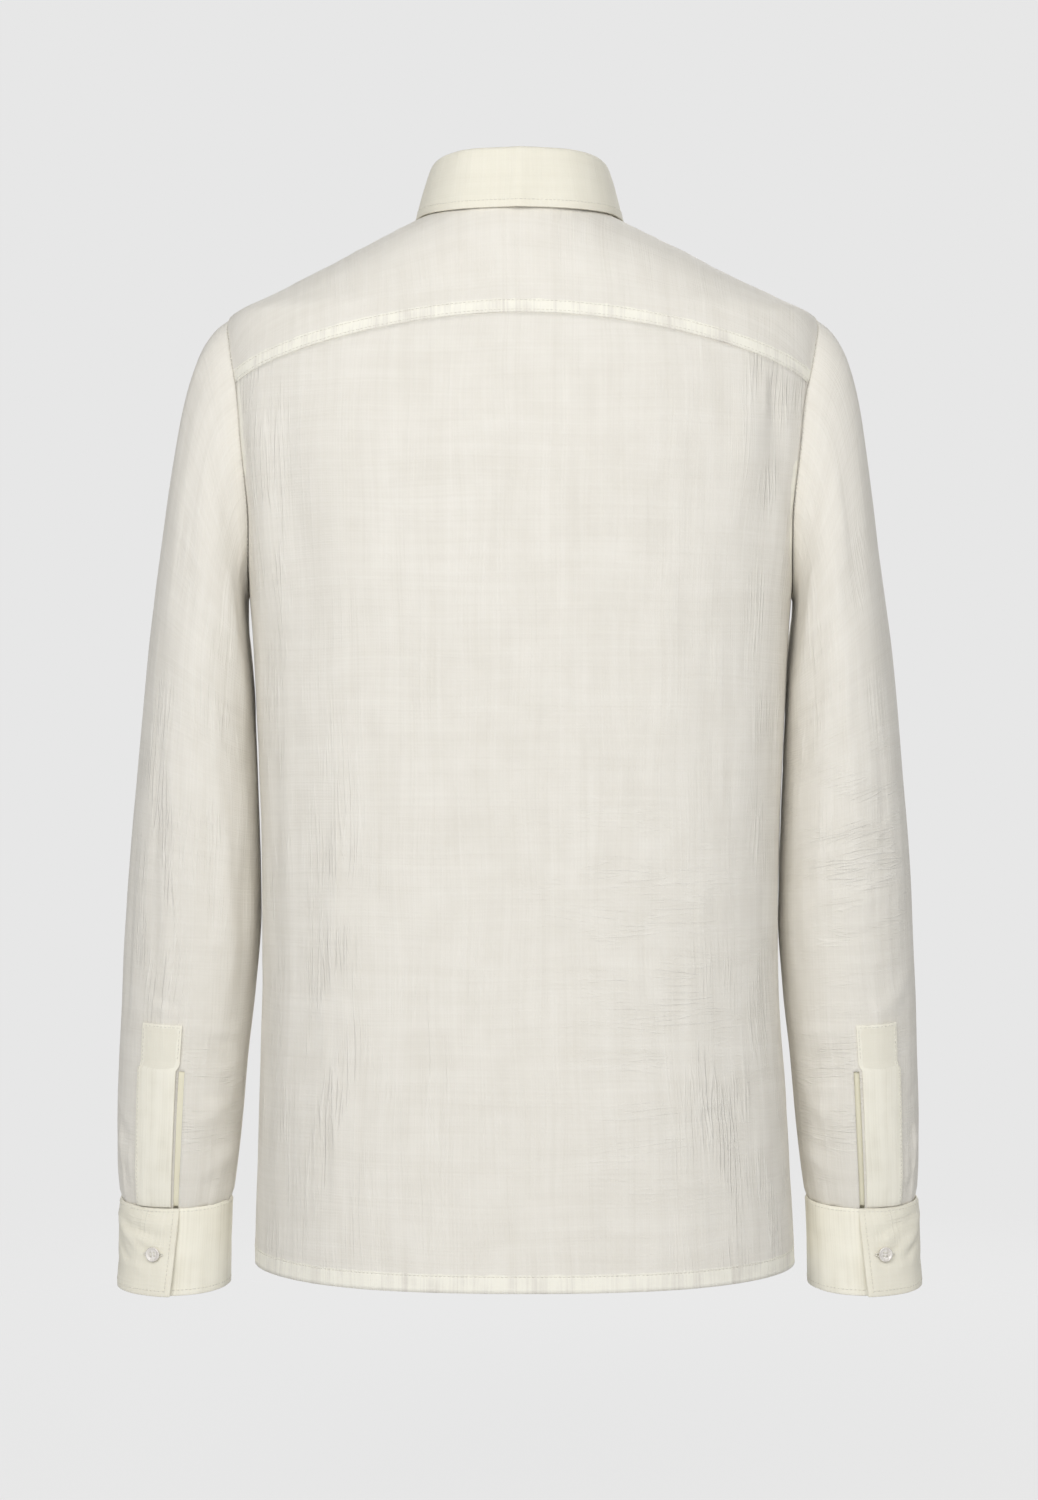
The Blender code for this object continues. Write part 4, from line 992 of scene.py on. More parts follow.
class Placket(SleevePiece):
    """The strip on the slit's outer edge, sewn down as a box above the slit."""

    name, solid, seeds, rests_on = "placket_strip", "placket", (51, 56), ("sleeve_{side}",)
    columns, rows = 14, 48
    wall, finish, rounded, fine = 1.0, Finish.DOUBLED, True, 0.2
    turn_range, share_range = (54.0, 91.0), (0.767, 0.996)
    stitched = (Strip(Edge.START, 1.6), Strip(Edge.END, 1.6, 0.0, 0.21), Strip(Edge.LOW, 1.6))
    cut = (0.028, 0.133, 0.0037)
    out = 1.65             # how far its middle stands off the sleeve's
    box, wide, tall, fold_lift = 0.21, 25.0, 133.0, 0.55
    all_over = 6.0         # millimetres inside doubled cloth, said of a whole strip

    def turns(self, u: Array, v: Array) -> tuple[Array, Array]:
        """Turn and share, as SleevePiece asks."""
        low, high = self.turn_range
        start, end = self.share_range
        return low + (high - low) * u, start + (end - start) * v

    def lay(self, u: Array, v: Array, out: Array) -> Array:
        """The strip lies on the sleeve, a box at its top and a fold on top of it below."""
        folded = smooth_step((v - self.box - 0.015) * self.tall / 1.6)
        dent = np.exp(-((v - self.box + 0.01) * self.tall / 2.0) ** 2) * -0.3
        pillow = 0.3 * np.sin(np.clip(u, 0, 1) * pi) * np.sin(np.clip(v / self.box, 0, 1) * pi)
        shifted = u - 0.05 * folded + 0.03 * (1 - folded)
        return super().lay(shifted, v, out + self.out + dent + pillow + self.fold_lift * folded)

    def into_strip(self, points: Array) -> Array:
        """The fold is doubled all over, the box only along its edges."""
        row, column = np.divmod(np.arange(len(points)), self.columns + 1)
        v, u = row / self.rows, column / self.columns
        away = np.minimum(np.minimum(u, 1 - u) * self.wide, v * self.tall)
        return np.where(v > self.box + 0.02, self.all_over, 2.5 - away)


class Underlap(Placket):
    """The narrow strip inside the slit's other edge."""

    name, solid = "underlap_strip", "underlap"
    columns, rows = 8, 40
    # its finish is painted shade: darker, yellower gauze where the slit lies in shadow
    wall, finish = 0.8, Finish.SHADED
    turn_range, share_range = (88.0, 103.0), (0.825, 0.996)
    stitched = ()
    cut = (0.015, 0.100, 0.0012)
    out = -1.15

    def lay(self, u: Array, v: Array, out: Array) -> Array:
        """The strip lies close under the sleeve."""
        return SleevePiece.lay(self, u, v, out + self.out)

    def into_strip(self, points: Array) -> Array:
        """It is doubled all over."""
        return np.full(len(points), self.all_over)


class Cuff(Piece):
    """One cuff, whose lapped end is crumpled and stands off the under end."""

    name, solid, seeds, rests_on = "cuff_band", "cuff", (61, 66), ("sleeve_{side}",)
    spread = (246, 60)
    columns, rows = 104, 24
    wall, finish, rounded, fine = 1.8, Finish.DOUBLED, True, 0.3
    start_turn, end_top, end_bottom = 62.0, 458.0, 451.0
    lap_start, lap_lift, corner_start, corner_lift = 347, 2.6, 425, 2.2
    stitched = (Strip(Edge.LOW, 2.2), Strip(Edge.HIGH, 4.0), Strip(Edge.END, 4.0))
    cut = (0.246, 0.060, 0.0146)
    creases = crease_rows(
        (370, 6, 446, 20, -1.9, 3.5, 2), (378, 13, 420, 30, 1.8, 2.6, -2),
        (384, 24, 412, 40, -1.6, 2.6, 2), (360, 40, 398, 48, -0.9, 5),
        (402, 12, 440, 27, 1.4, 2.6, 3), (396, 38, 428, 44, 1.0, 2.6),
        (412, 24, 444, 36, -1.4, 2.4, -2), (366, 9, 398, 12, 1.2, 2.2), (430, 6, 436, 52, -0.5, 3),
        (120, 14, 170, 22, 0.6, 6, 3), (180, 30, 240, 38, -0.6, 6, -3), (200, 10, 260, 16, 0.5, 6),
        (270, 36, 330, 26, 0.7, 6, 3), (100, 40, 140, 46, -0.5, 5))
    form = SleeveForm()

    def __init__(self, side: str) -> None:
        """Take a side; the right cuff's creases differ a little."""
        super().__init__(side)
        if self.mirrored:
            self.creases = tuple(
                Crease((one.start[0] + 4, one.start[1] + 1.5), (one.end[0] - 3, one.end[1] - 1),
                       one.rise * 0.9, one.spread + 0.6, -one.bow) for one in self.creases)

    def band(self, turn: Array, drop: Array, size: Array) -> Array:
        """Place on the band, which lifts over itself towards its lapped end."""
        lap = smooth_step((turn - self.lap_start) / 65) * self.near(drop, 0.2, 0.15)
        corner = smooth_step((turn - self.corner_start) / 30) * smooth_step(drop * 1.5 - 0.5)
        return self.form.tube(self.form.cuff_rings, (0.0, 1.0), turn, drop,
                              self.lap_lift * lap + self.corner_lift * corner + size)

    def lay(self, u: Array, v: Array, out: Array) -> Array:
        """Place of the cloth, as Piece asks."""
        end = self.end_top + (self.end_bottom - self.end_top) * v
        turn = self.start_turn + (end - self.start_turn) * u
        down = v * self.spread[1]
        hollow = -0.35 * np.sin(np.clip(v, 0, 1) * pi) - 0.7 * fade(down / 3)
        lift = relief(self.creases, turn, down) + out + hollow
        return sway(self.band(turn, v, lift), "sleeve", self.mirrored)

    def into_strip(self, points: Array) -> Array:
        """Paler towards the under end, as painted light that lifts the shade where it turns in
        towards the body; the lapped end is crumpled.
        """
        along = np.mod(np.arange(len(points)), self.columns + 1) / self.columns
        # painted light: the under end is given the paler doubled colour
        return np.clip((0.42 - along) * 40, -6, 2.2)

    def zones(self, points: Array) -> tuple[Array, Array]:
        """Crumpled where the lapped end is pulled to its button."""
        x, z = np.abs(points[:, 0]), points[:, 2]
        crumple = spots(x, z, (252, -688, 18, 9), (248, -702, 12, 10))
        return np.clip(0.1 + crumple * 0.6, 0, 1), np.clip(0.1 + crumple * 0.8, 0, 1)


# Collar

class CollarForm:
    """The fold line and lower edge of the collar."""

    posts = rows(
        CollarPost, (0.00, 0.0, 58.5, 34.8, 0.0, 71.0, -6.5),
        (0.18, 33.0, 49.5, 34.6, 37.0, 60.5, -6.4), (0.35, 53.5, 27.0, 32.8, 61.8, 34.0, -5.4),
        (0.50, 60.0, 0.0, 28.5, 70.0, 1.0, -4.2), (0.57, 59.5, -13.0, 24.0, 71.6, -15.0, -7.6),
        (0.64, 57.0, -27.0, 16.5, 72.0, -32.0, -18.5),
        (0.80, 39.0, -52.0, -5.0, 64.0, -67.0, -62.0),
        (0.96, 8.5, -66.0, -26.0, 46.0, -89.0, -104.0),
        (1.00, 0.0, -66.5, -28.0, 36.0, -90.0, -106.0),
        (1.06, -12.0, -65.5, -27.0, 24.0, -90.0, -106.0))

    def post(self, part: str, across: Array) -> Array:
        """Place on the fold line or the lower edge."""
        away = np.abs(across)
        x, y, z = (read_table(self.posts, "across", f"{part}_{axis}", away) for axis in "xyz")
        return join(x * np.where(across < 0, -1, 1), y, z)

    @staticmethod
    def inwards(points: Array) -> Array:
        """Level directions towards the neck's middle."""
        return unit(points * (-1, -1, 0))


class CollarStand(Piece):
    """The band round the neck that carries the fall."""

    name, solid, spread = "collar_band", "collar_stand", (425, 36)
    columns, rows = 150, 14
    wall, finish, rounded, fine = 1.8, Finish.DOUBLED, True, 0.12
    stitched = (Strip(Edge.LOW, 2.0), Strip(Edge.START, 2.6), Strip(Edge.END, 2.6))
    rests_on = ("yoke", "front_left", "front_right")
    cut = (0.425, 0.040, 0.0135)
    reach, seed = 1.055, 71
    lap_from, lap_lift = 0.78, 1.25
    low_in, low_up, fold_in, fold_down = 0.9, 1.5, 3.4, 3.2   # from neck seam and fold line
    form, body = CollarForm(), BodyForm()

    def lay(self, u: Array, v: Array, out: Array) -> Array:
        """Place of the cloth, as Piece asks."""
        across = (u * 2 - 1) * self.reach
        low = self.body.point(across, NECK)
        low = low + self.form.inwards(low) * self.low_in + (0, 0, self.low_up)
        fold = self.form.post("fold", across)
        high = fold + self.form.inwards(fold) * self.fold_in - (0, 0, self.fold_down)
        points = low + (high - low) * v[..., None]
        lap = -np.sign(across) * smooth_step((np.abs(across) - self.lap_from) / 0.1) * self.lap_lift
        return sway(points - self.form.inwards(points) * (lap + out)[..., None], "body")


class CollarFall(Piece):
    """The turned-down collar with its two points."""

    name, solid, spread = "collar_turndown", "collar_fall", (430, 60)
    columns, rows = 150, 34
    wall, finish, rounded, fine = 1.8, Finish.DOUBLED, True, 0.16
    stitched = (Strip(Edge.LOW, 5.0), Strip(Edge.START, 5.0), Strip(Edge.END, 5.0))
    rests_on = ("collar_stand", "yoke")
    cut = (0.46, 0.110, 0.0235)
    reach, roll, seed = 0.96, 0.10, 76
    back_half, press = 0.45, 1.1   # where and how far the lower edge is pressed to the yoke
    form = CollarForm()

    def lay(self, u: Array, v: Array, out: Array) -> Array:
        """From the lower edge, v 0, up over the fold line to the roll, v 1."""
        across = (u * 2 - 1) * self.reach
        fold, edge = self.form.post("fold", across), self.form.post("edge", across)
        inwards = self.form.inwards(fold)
        share = np.clip((1 - self.roll - v) / (1 - self.roll), 0, 1)
        over = np.clip((v - 1 + self.roll) / self.roll, 0, 1)
        behind = fade((np.abs(across) - self.back_half) / 0.1)
        bulge = np.sin(pi * share ** 0.6) - self.press * behind * fade(v * 10)
        points = fold + (edge - fold) * share[..., None] - inwards * bulge[..., None]
        up = np.array((0, 0, 1.0))
        over = over[..., None]
        points = points + inwards * np.sin(over * pi * 0.55) * 3.2
        points = points + up * (np.sin(over * pi) * 0.6 - over * 1.2)
        lean = over * pi / 2
        away = unit(up * np.sin(lean) - inwards * np.cos(lean))
        return sway(points + away * out[..., None], "body")


# Sewing and buttons

class Sewing:
    """Thread: rows of stitches, ropes of thread round buttonholes and through buttons."""

    pitch, length, width, height = 2.9, 1.15, 0.30, 0.22
    batch = 40      # stitches made at a time, because adding to a large mesh is slow

    def row(self, mesh: bmesh.types.BMesh, path: Array, outwards: Array) -> None:
        """Lay stitches end to end along a path of places one pitch apart."""
        for before, here, after, away in zip(path[:-2], path[1:-1], path[2:], outwards[1:-1]):
            along, out = Vector(after - before).normalized(), Vector(away)
            out = (out - along * out.dot(along)).normalized()
            turned = Matrix((along, out.cross(along), out)).transposed().to_4x4()
            size = Matrix.Diagonal((self.length, self.width, self.height, 1 / MM)) * MM
            bmesh.ops.create_icosphere(mesh, subdivisions=1, radius=1.0,
                                       matrix=Matrix.Translation(Vector(here) * MM) @ turned @ size)

    def stitch(self, pieces: Iterable[Piece], name: str) -> bpy.types.Object:
        """Sew the rows that some pieces ask for.

        Args:
            pieces: the pieces.
            name: the name of the thread's object.

        Returns:
            The thread.
        """
        mesh = bmesh.new()
        for piece in pieces:
            for strip in piece.stitched:
                off = piece.wall / 2 + 0.1
                path, outwards = piece.edge_line(strip, strip.width, self.pitch, off)
                for first in range(0, len(path) - 2, self.batch):
                    batch, span = bmesh.new(), slice(first, first + self.batch + 2)
                    self.row(batch, path[span], outwards[span])
                    data = Workshop.mesh_data(batch, "Stitches")
                    mesh.from_mesh(data)
                    bpy.data.meshes.remove(data)
        return self.finish(mesh, name)

    @staticmethod
    def rope(mesh: bmesh.types.BMesh, path: Array, out: Array, radius: float) -> None:
        """Wind a closed rope of thread along a loop of places.

        Args:
            mesh: where it goes.
            path: the loop in millimetres, first place not repeated.
            out: outward direction there.
            radius: half its thickness.
        """
        count, sides = len(path), 6
        made = bmesh.ops.create_grid(mesh, x_segments=count, y_segments=sides, size=1.0)["verts"]
        along = unit(np.roll(path, -1, axis=0) - np.roll(path, 1, axis=0))
        side = unit(np.cross(along, out))
        for vert in made:
            step = round((vert.co.x / 2 + 0.5) * count) % count
            turn = (vert.co.y + 1) * pi
            around = side[step] * np.cos(turn) + out * np.sin(turn)
            vert.co = (path[step] + around * radius) * MM
        bmesh.ops.remove_doubles(mesh, verts=made, dist=0.01 * MM)

    @staticmethod
    def finish(mesh: bmesh.types.BMesh, name: str) -> bpy.types.Object:
        """Turn gathered thread into a piece."""
        bmesh.ops.recalc_face_normals(mesh, faces=mesh.faces)
        data = Workshop.mesh_data(mesh, name)
        data.shade_smooth()
        return Workshop.add(name, data, Finish.THREAD)


class Seat(NamedTuple):
    """Where a button sits: its CAD node, the way out of the cloth and along the buttonhole."""
    node: str
    out: Array
    along: Array


class Button:
    """A dished button with a rounded rim and four holes, its thread and its buttonhole."""

    thick, hole_radius, hole_off = 2.2, 0.62, 1.15
    profile = ((0.0, 0.25), (2.6, 0.25), (3.2, 0.36), (3.7, 0.72), (4.1, 0.98), (4.45, 1.08),
               (4.8, 0.92), (4.97, 0.5), (5.0, 0.0), (4.85, -0.5), (4.2, -0.85), (3.0, -1.05),
               (0.0, -1.1))
    slot_half, slot_wide = 6.6, 1.25

    def blank(self) -> bpy.types.Mesh:
        """Turn the button on its own axis and drill it.

        Returns:
            Its mesh, lying in the middle of the scene and facing up.
        """
        mesh = bmesh.new()
        verts = [mesh.verts.new((x * MM, 0, z * MM)) for x, z in self.profile]
        edges = [mesh.edges.new(pair) for pair in zip(verts, verts[1:])]
        bmesh.ops.spin(mesh, geom=verts + edges, cent=(0, 0, 0), axis=(0, 0, 1), angle=2 * pi,
                       steps=28, use_merge=True)
        bmesh.ops.remove_doubles(mesh, verts=mesh.verts, dist=0.005 * MM)
        bmesh.ops.recalc_face_normals(mesh, faces=mesh.faces)
        disc = Workshop.link("Button blank", Workshop.mesh_data(mesh, "Button blank"))
        drill = bmesh.new()
        for hole in self.holes():
            self.peg(drill, 12, self.hole_radius, self.thick * 2, hole)
        bits = Workshop.link("Drill", Workshop.mesh_data(drill, "Drill"))
        cut = disc.modifiers.new("Holes", "BOOLEAN")
        cut.operation, cut.object, cut.solver = "DIFFERENCE", bits, "EXACT"
        ready = disc.evaluated_get(bpy.context.evaluated_depsgraph_get())
        done = bpy.data.meshes.new_from_object(ready)
        for thing in (disc, bits):
            bpy.data.objects.remove(thing, do_unlink=True)
        return done

    @staticmethod
    def peg(mesh: bmesh.types.BMesh, sides: int, radius: float, long: float, at: Matrix) -> None:
        """Add a round peg, whose middle is at a place."""
        bmesh.ops.create_cone(mesh, cap_ends=True, segments=sides, radius1=radius * MM,
                              radius2=radius * MM, depth=long * MM, matrix=at)

    def holes(self, lower: float = 0.0) -> list[Matrix]:
        """Middles of the four holes, moved down by some distance."""
        return [Matrix.Translation((x * self.hole_off * MM, y * self.hole_off * MM, -lower * MM))
                for x in (-1, 1) for y in (-1, 1)]

    def sew_on(self, seats: list[Seat]) -> None:
        """Put a button, its thread and its buttonhole on each seat."""
        blank = self.blank()
        thread, holes = bmesh.new(), bmesh.new()
        for number, seat in enumerate(seats):
            low, high = (np.array(corner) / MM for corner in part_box(seat.node))
            middle, out = (low + high) / 2, unit(seat.out)
            along = unit(seat.along - out * (seat.along @ out))
            side = np.cross(out, along)
            turned = Matrix((Vector(along), Vector(side), Vector(out))).transposed().to_4x4()
            place = (Matrix.Translation(Vector(middle) * MM) @ turned
                     @ Matrix.Rotation(0.2 + number * 1.3, 4, "Z"))
            data = blank.copy()
            data.transform(place)
            data.shade_smooth()
            data.name = f"pearl_{seat.node}"
            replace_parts(Workshop.add(data.name, data, Finish.BUTTON), seat.node)
            self.lace(thread, place)
            turn = np.linspace(0, 2 * pi, 32, endpoint=False)[:, None]
            long = np.cos(turn) * (1 + 0.25 * np.sin(turn) ** 2) * self.slot_half
            wide = np.sin(turn) * self.slot_wide
            ring = middle - out * (self.thick / 2 + 0.25) + long * along + wide * side
            Sewing.rope(holes, ring, out, 0.5)
        Sewing.finish(thread, "button_thread")
        Sewing.finish(holes, "buttonholes")

    def lace(self, mesh: bmesh.types.BMesh, place: Matrix) -> None:
        """Pass thread through the holes, two strands over and a shank beneath."""
        for y in (-1, 1):
            strand = Matrix.Translation((0, y * self.hole_off * MM, 0.42 * MM)) @ Matrix.Diagonal(
                (1.75 * MM, 0.42 * MM, 0.34 * MM, 1))
            bmesh.ops.create_icosphere(mesh, subdivisions=2, radius=1.0, matrix=place @ strand)
        for hole in self.holes(0.5):
            self.peg(mesh, 8, 0.5, 1.9, place @ hole)


# Finishes

class Bench:
    """Short calls for making and joining shader nodes."""

    def __init__(self, tree: bpy.types.NodeTree) -> None:
        """Work on one node tree."""
        self.tree = tree

    @classmethod
    def start(cls, name: str) -> tuple[bpy.types.Material, "Bench", bpy.types.Node]:
        """A new material, a bench for its nodes, and its shader."""
        material = bpy.data.materials.new(name)
        material.use_nodes = True
        return material, cls(material.node_tree), material.node_tree.nodes["Principled BSDF"]

    def add(self, kind: str, **settings: object) -> bpy.types.Node:
        """Add a node with some of its settings."""
        node = self.tree.nodes.new(f"ShaderNode{kind}")
        for name, value in settings.items():
            setattr(node, name, value)
        return node

    def put(self, socket: bpy.types.NodeSocket, value: object) -> None:
        """Join a socket to another, or set its value."""
        if isinstance(value, bpy.types.NodeSocket):
            self.tree.links.new(value, socket)
        elif isinstance(value, tuple) and len(value) == 3 and socket.type == "RGBA":
            socket.default_value = (*value, 1.0)
        else:
            socket.default_value = value

    def wire(self, node: bpy.types.Node, given: dict[str, object]) -> None:
        """Join or set several of a node's sockets, by their names."""
        for name, value in given.items():
            self.put(node.inputs[name], value)

    def math(self, operation: str, first: object, second: object = 0.0,
             clamp: bool = False) -> bpy.types.NodeSocket:
        """The result of one operation on two values."""
        node = self.add("Math", operation=operation, use_clamp=clamp)
        self.put(node.inputs[0], first)
        self.put(node.inputs[1], second)
        return node.outputs[0]

    def weigh(self, *parts: tuple[object, object]) -> bpy.types.NodeSocket:
        """The sum of some values, each times its weight."""
        terms = [value if isinstance(weight, float) and weight == 1.0
                 else self.math("MULTIPLY", value, weight) for value, weight in parts]
        total = terms[0]
        for term in terms[1:]:
            total = self.math("ADD", total, term)
        return total

    def ramp(self, value: object, low: float, high: float) -> bpy.types.NodeSocket:
        """A smooth step from 0 at low to 1 at high."""
        node = self.add("MapRange", interpolation_type="SMOOTHSTEP")
        for socket, given in zip(node.inputs, (value, low, high)):
            self.put(socket, given)
        return node.outputs[0]

    def blend(self, share: object, first: object, second: object,
              kind: str = "RGBA") -> bpy.types.NodeSocket:
        """A mixture of two colours or values."""
        node = self.add("Mix", data_type=kind, clamp_factor=True)
        sockets = [one for one in node.inputs if one.enabled]
        for socket, given in zip(sockets, (share, first, second)):
            self.put(socket, given)
        return next(one for one in node.outputs if one.enabled)

    def stretch(self, vector: object, x: float, y: float, off: float = 0.0) -> bpy.types.NodeSocket:
        """A place with its two directions scaled, moved off by some distance."""
        node = self.add("Mapping")
        self.wire(node, {"Vector": vector, "Location": (off, off * 0.7, off), "Scale": (x, y, 1.0)})
        return node.outputs[0]

    def noise(self, vector: object, detail: float, roughness: float) -> bpy.types.NodeSocket:
        """Noise whose hills are about one unit wide."""
        node = self.add("TexNoise", noise_dimensions="2D")
        self.wire(node, {"Vector": vector, "Scale": 1.0, "Detail": detail, "Roughness": roughness})
        return node.outputs[0]

    def centred(self, vector: object, x: float, y: float, off: float,
                detail: float) -> bpy.types.NodeSocket:
        """Noise about zero, from about -0.25 to 0.25, stretched in two directions."""
        return self.math("SUBTRACT", self.noise(self.stretch(vector, x, y, off), detail, 0.5), 0.5)

    def ridges(self, vector: object, x: float, y: float, off: float) -> bpy.types.NodeSocket:
        """Thin wandering ridges with flat cloth between them, as long as y is small beside x."""
        away = self.math("ABSOLUTE", self.centred(vector, x, y, off, 0.6))
        return self.math("SUBTRACT", 1.0, self.ramp(away, 0.0, 0.075))


@dataclass(frozen=True)
class ClothFinish:
    """Crinkled double gauze, single or doubled: its colours and how deep its crinkle is. Its pale
    and dark tones are the threads' own and also painted light on the crinkle's ridges and painted
    shade beside them.
    """
    # pale thread tone, and painted light on the crinkle's ridges
    pale_and_lit: tuple[float, float, float]
    # dark thread tone, and painted shade beside the crinkle's ridges
    dark_and_shaded: tuple[float, float, float]
    doubled: tuple[float, float, float]
    depth: float
    strength: float

    @staticmethod
    def group() -> bpy.types.NodeTree:
        """The crinkle that all the cloth shares, built once."""
        known = bpy.data.node_groups.get("Double gauze crinkle")
        if known:
            return known
        tree = bpy.data.node_groups.new("Double gauze crinkle", "ShaderNodeTree")
        for way, kind, names in (
                ("INPUT", "Vector", ("Cloth",)), ("INPUT", "Float", ("Strip", "Upright", "Level")),
                ("INPUT", "Color", ("Pale and lit", "Dark and shaded", "Doubled")), ("OUTPUT", "Color", ("Color",)),
                ("OUTPUT", "Float", ("Height",))):
            for name in names:
                tree.interface.new_socket(name, in_out=way, socket_type=f"NodeSocket{kind}")
        bench = Bench(tree)
        given, made = tree.nodes.new("NodeGroupInput"), tree.nodes.new("NodeGroupOutput")
        flat = bench.stretch(given.outputs["Cloth"], 1 / MM, 1 / MM)
        shift = bench.add("CombineXYZ")
        bench.wire(shift, {"X": bench.weigh((bench.centred(flat, 0.03, 0.012, 3, 0.0), 5.0)),
                           "Y": bench.weigh((bench.centred(flat, 0.012, 0.03, 8, 0.0), 5.0))})
        moved = bench.add("VectorMath", operation="ADD")
        bench.put(moved.inputs[0], flat)
        bench.put(moved.inputs[1], shift.outputs[0])
        place = moved.outputs[0]
        # Threads of uneven thickness, running up and across, and the soft patches they make
        warp = bench.weigh((bench.centred(place, 0.75, 0.010, 31, 1.0), 1.0),
                           (bench.centred(place, 0.16, 0.006, 37, 1.0), 1.0))
        weft = bench.weigh((bench.centred(place, 0.008, 0.65, 41, 1.0), 1.0),
                           (bench.centred(place, 0.010, 0.12, 43, 1.0), 1.0))
        patch = bench.weigh((bench.centred(place, 0.040, 0.034, 47, 2.0), 1.5))
        cloth = bench.weigh((warp, 1.0), (weft, 0.8), (patch, 1.0))
        # Puckers where the two layers pull together, in some places more than in others
        upright = bench.weigh((bench.ridges(place, 0.20, 0.011, 11), 1.0),
                              (bench.ridges(place, 0.30, 0.030, 17), 0.4))
        level = bench.weigh((bench.ridges(place, 0.022, 0.22, 23), 0.8),
                            (bench.ridges(place, 0.06, 0.32, 29), 0.4))
        where_up = bench.weigh((given.outputs["Upright"], bench.ramp(
            bench.noise(bench.stretch(flat, 0.045, 0.016, 9), 0.0, 0.5), 0.36, 0.58)))
        where_level = bench.weigh((given.outputs["Level"], bench.ramp(
            bench.noise(bench.stretch(flat, 0.022, 0.045, 13), 0.0, 0.5), 0.36, 0.58)))
        crinkle = bench.weigh((upright, where_up), (level, where_level))
        # Doubled strips, with an uneven edge and a groove along their seam
        strip = given.outputs["Strip"]
        edge = bench.weigh((strip, 1.0), (bench.centred(flat, 0.12, 0.12, 2, 1.0), 2.0))
        inside = bench.ramp(edge, -0.6, 0.6)
        seam = bench.ramp(bench.math("ABSOLUTE", bench.math("SUBTRACT", strip, 1.2)), 0.0, 1.1)
        # Colour: the threads' own tone, with painted light on the pucker ridges and painted shade
        # between them
        tone_and_crinkle_light = bench.weigh((cloth, 0.6), (crinkle, 0.35), (where_up, -0.175), (where_level, -0.175),
                           (0.5, 1.0))
        colour = bench.blend(tone_and_crinkle_light, given.outputs["Dark and shaded"], given.outputs["Pale and lit"])
        patchy = bench.math("ADD", 0.75, bench.weigh((patch, 1.2), (warp, 1.2)), clamp=True)
        colour = bench.blend(bench.weigh((inside, patchy)), colour, given.outputs["Doubled"])
        relief_left = bench.math("SUBTRACT", 1.0, bench.weigh((inside, 0.5)))
        grain = bench.centred(flat, 2.4, 1.7, 4, 0.0)
        height = bench.weigh((bench.weigh((cloth, 0.16), (crinkle, 0.33)), relief_left),
                             (inside, 0.15), (seam, 0.16), (grain, 0.05))
        bench.wire(made, {"Color": colour, "Height": height})
        return tree

    def make(self, name: str) -> bpy.types.Material:
        """The material."""
        material, bench, shader = Bench.start(name)
        cloth, bump = bench.add("Group", node_tree=self.group()), bench.add("Bump")
        for layer in ("Strip", "Upright", "Level"):
            read = bench.add("Attribute", attribute_name=layer.lower(), attribute_type="GEOMETRY")
            bench.put(cloth.inputs[layer], read.outputs["Fac"])
        bench.wire(cloth, {"Cloth": bench.add("UVMap", uv_map="Cloth").outputs[0],
                           "Pale and lit": self.pale_and_lit, "Dark and shaded": self.dark_and_shaded, "Doubled": self.doubled})
        bench.wire(bump, {"Distance": self.depth * MM, "Strength": self.strength,
                          "Height": cloth.outputs["Height"]})
        bench.wire(shader, {
            "Base Color": cloth.outputs["Color"], "Normal": bump.outputs[0], "Roughness": 0.92,
            "Sheen Weight": 0.12, "Sheen Roughness": 0.6, "Specular IOR Level": 0.2,
            "Subsurface Weight": 0.12, "Subsurface Scale": 0.004,
            "Subsurface Radius": (1.0, 0.95, 0.86)})
        return material


@dataclass(frozen=True)
class PearlFinish:
    """The buttons' creamy plastic with faint clouds, glossy under a clear coat."""
    pale: tuple[float, float, float] = (0.80, 0.77, 0.73)
    deep: tuple[float, float, float] = (0.66, 0.62, 0.57)

    def make(self, name: str) -> bpy.types.Material:
        """The material."""
        material, bench, shader = Bench.start(name)
        place = bench.add("TexCoord").outputs["Object"]
        clouds = bench.noise(bench.stretch(place, 420, 420), 3.0, 0.6)
        bench.wire(shader, {
            "Base Color": bench.blend(bench.ramp(clouds, 0.35, 0.65), self.deep, self.pale),
            "Roughness": bench.weigh((clouds, 0.14), (0.18, 1.0)), "Coat Weight": 0.5})
        return material


@dataclass(frozen=True)
class ThreadFinish:
    """Sewing thread, matt and faintly twisted, with painted shade in the grooves of its twist."""
    colour: tuple[float, float, float] = (0.84, 0.82, 0.74)
    # painted shade for the grooves of the twist
    twist_shade: tuple[float, float, float] = (0.68, 0.65, 0.56)

    def make(self, name: str) -> bpy.types.Material:
        """The material."""
        material, bench, shader = Bench.start(name)
        twist = bench.add("TexWave", wave_type="BANDS", bands_direction="DIAGONAL")
        bench.wire(twist, {"Vector": bench.add("TexCoord").outputs["Object"], "Scale": 600.0})
        bump = bench.add("Bump")
        bench.wire(bump, {"Distance": 0.08 * MM, "Height": twist.outputs["Fac"]})
        bench.wire(shader, {
            "Base Color": bench.blend(twist.outputs["Fac"], self.twist_shade, self.colour),
            "Normal": bump.outputs[0], "Roughness": 0.8})
        return material


# Studio

@dataclass(frozen=True)
class Lamp:
    """One soft studio light."""
    name: str
    place: tuple[float, float, float]
    size: float
    power: float


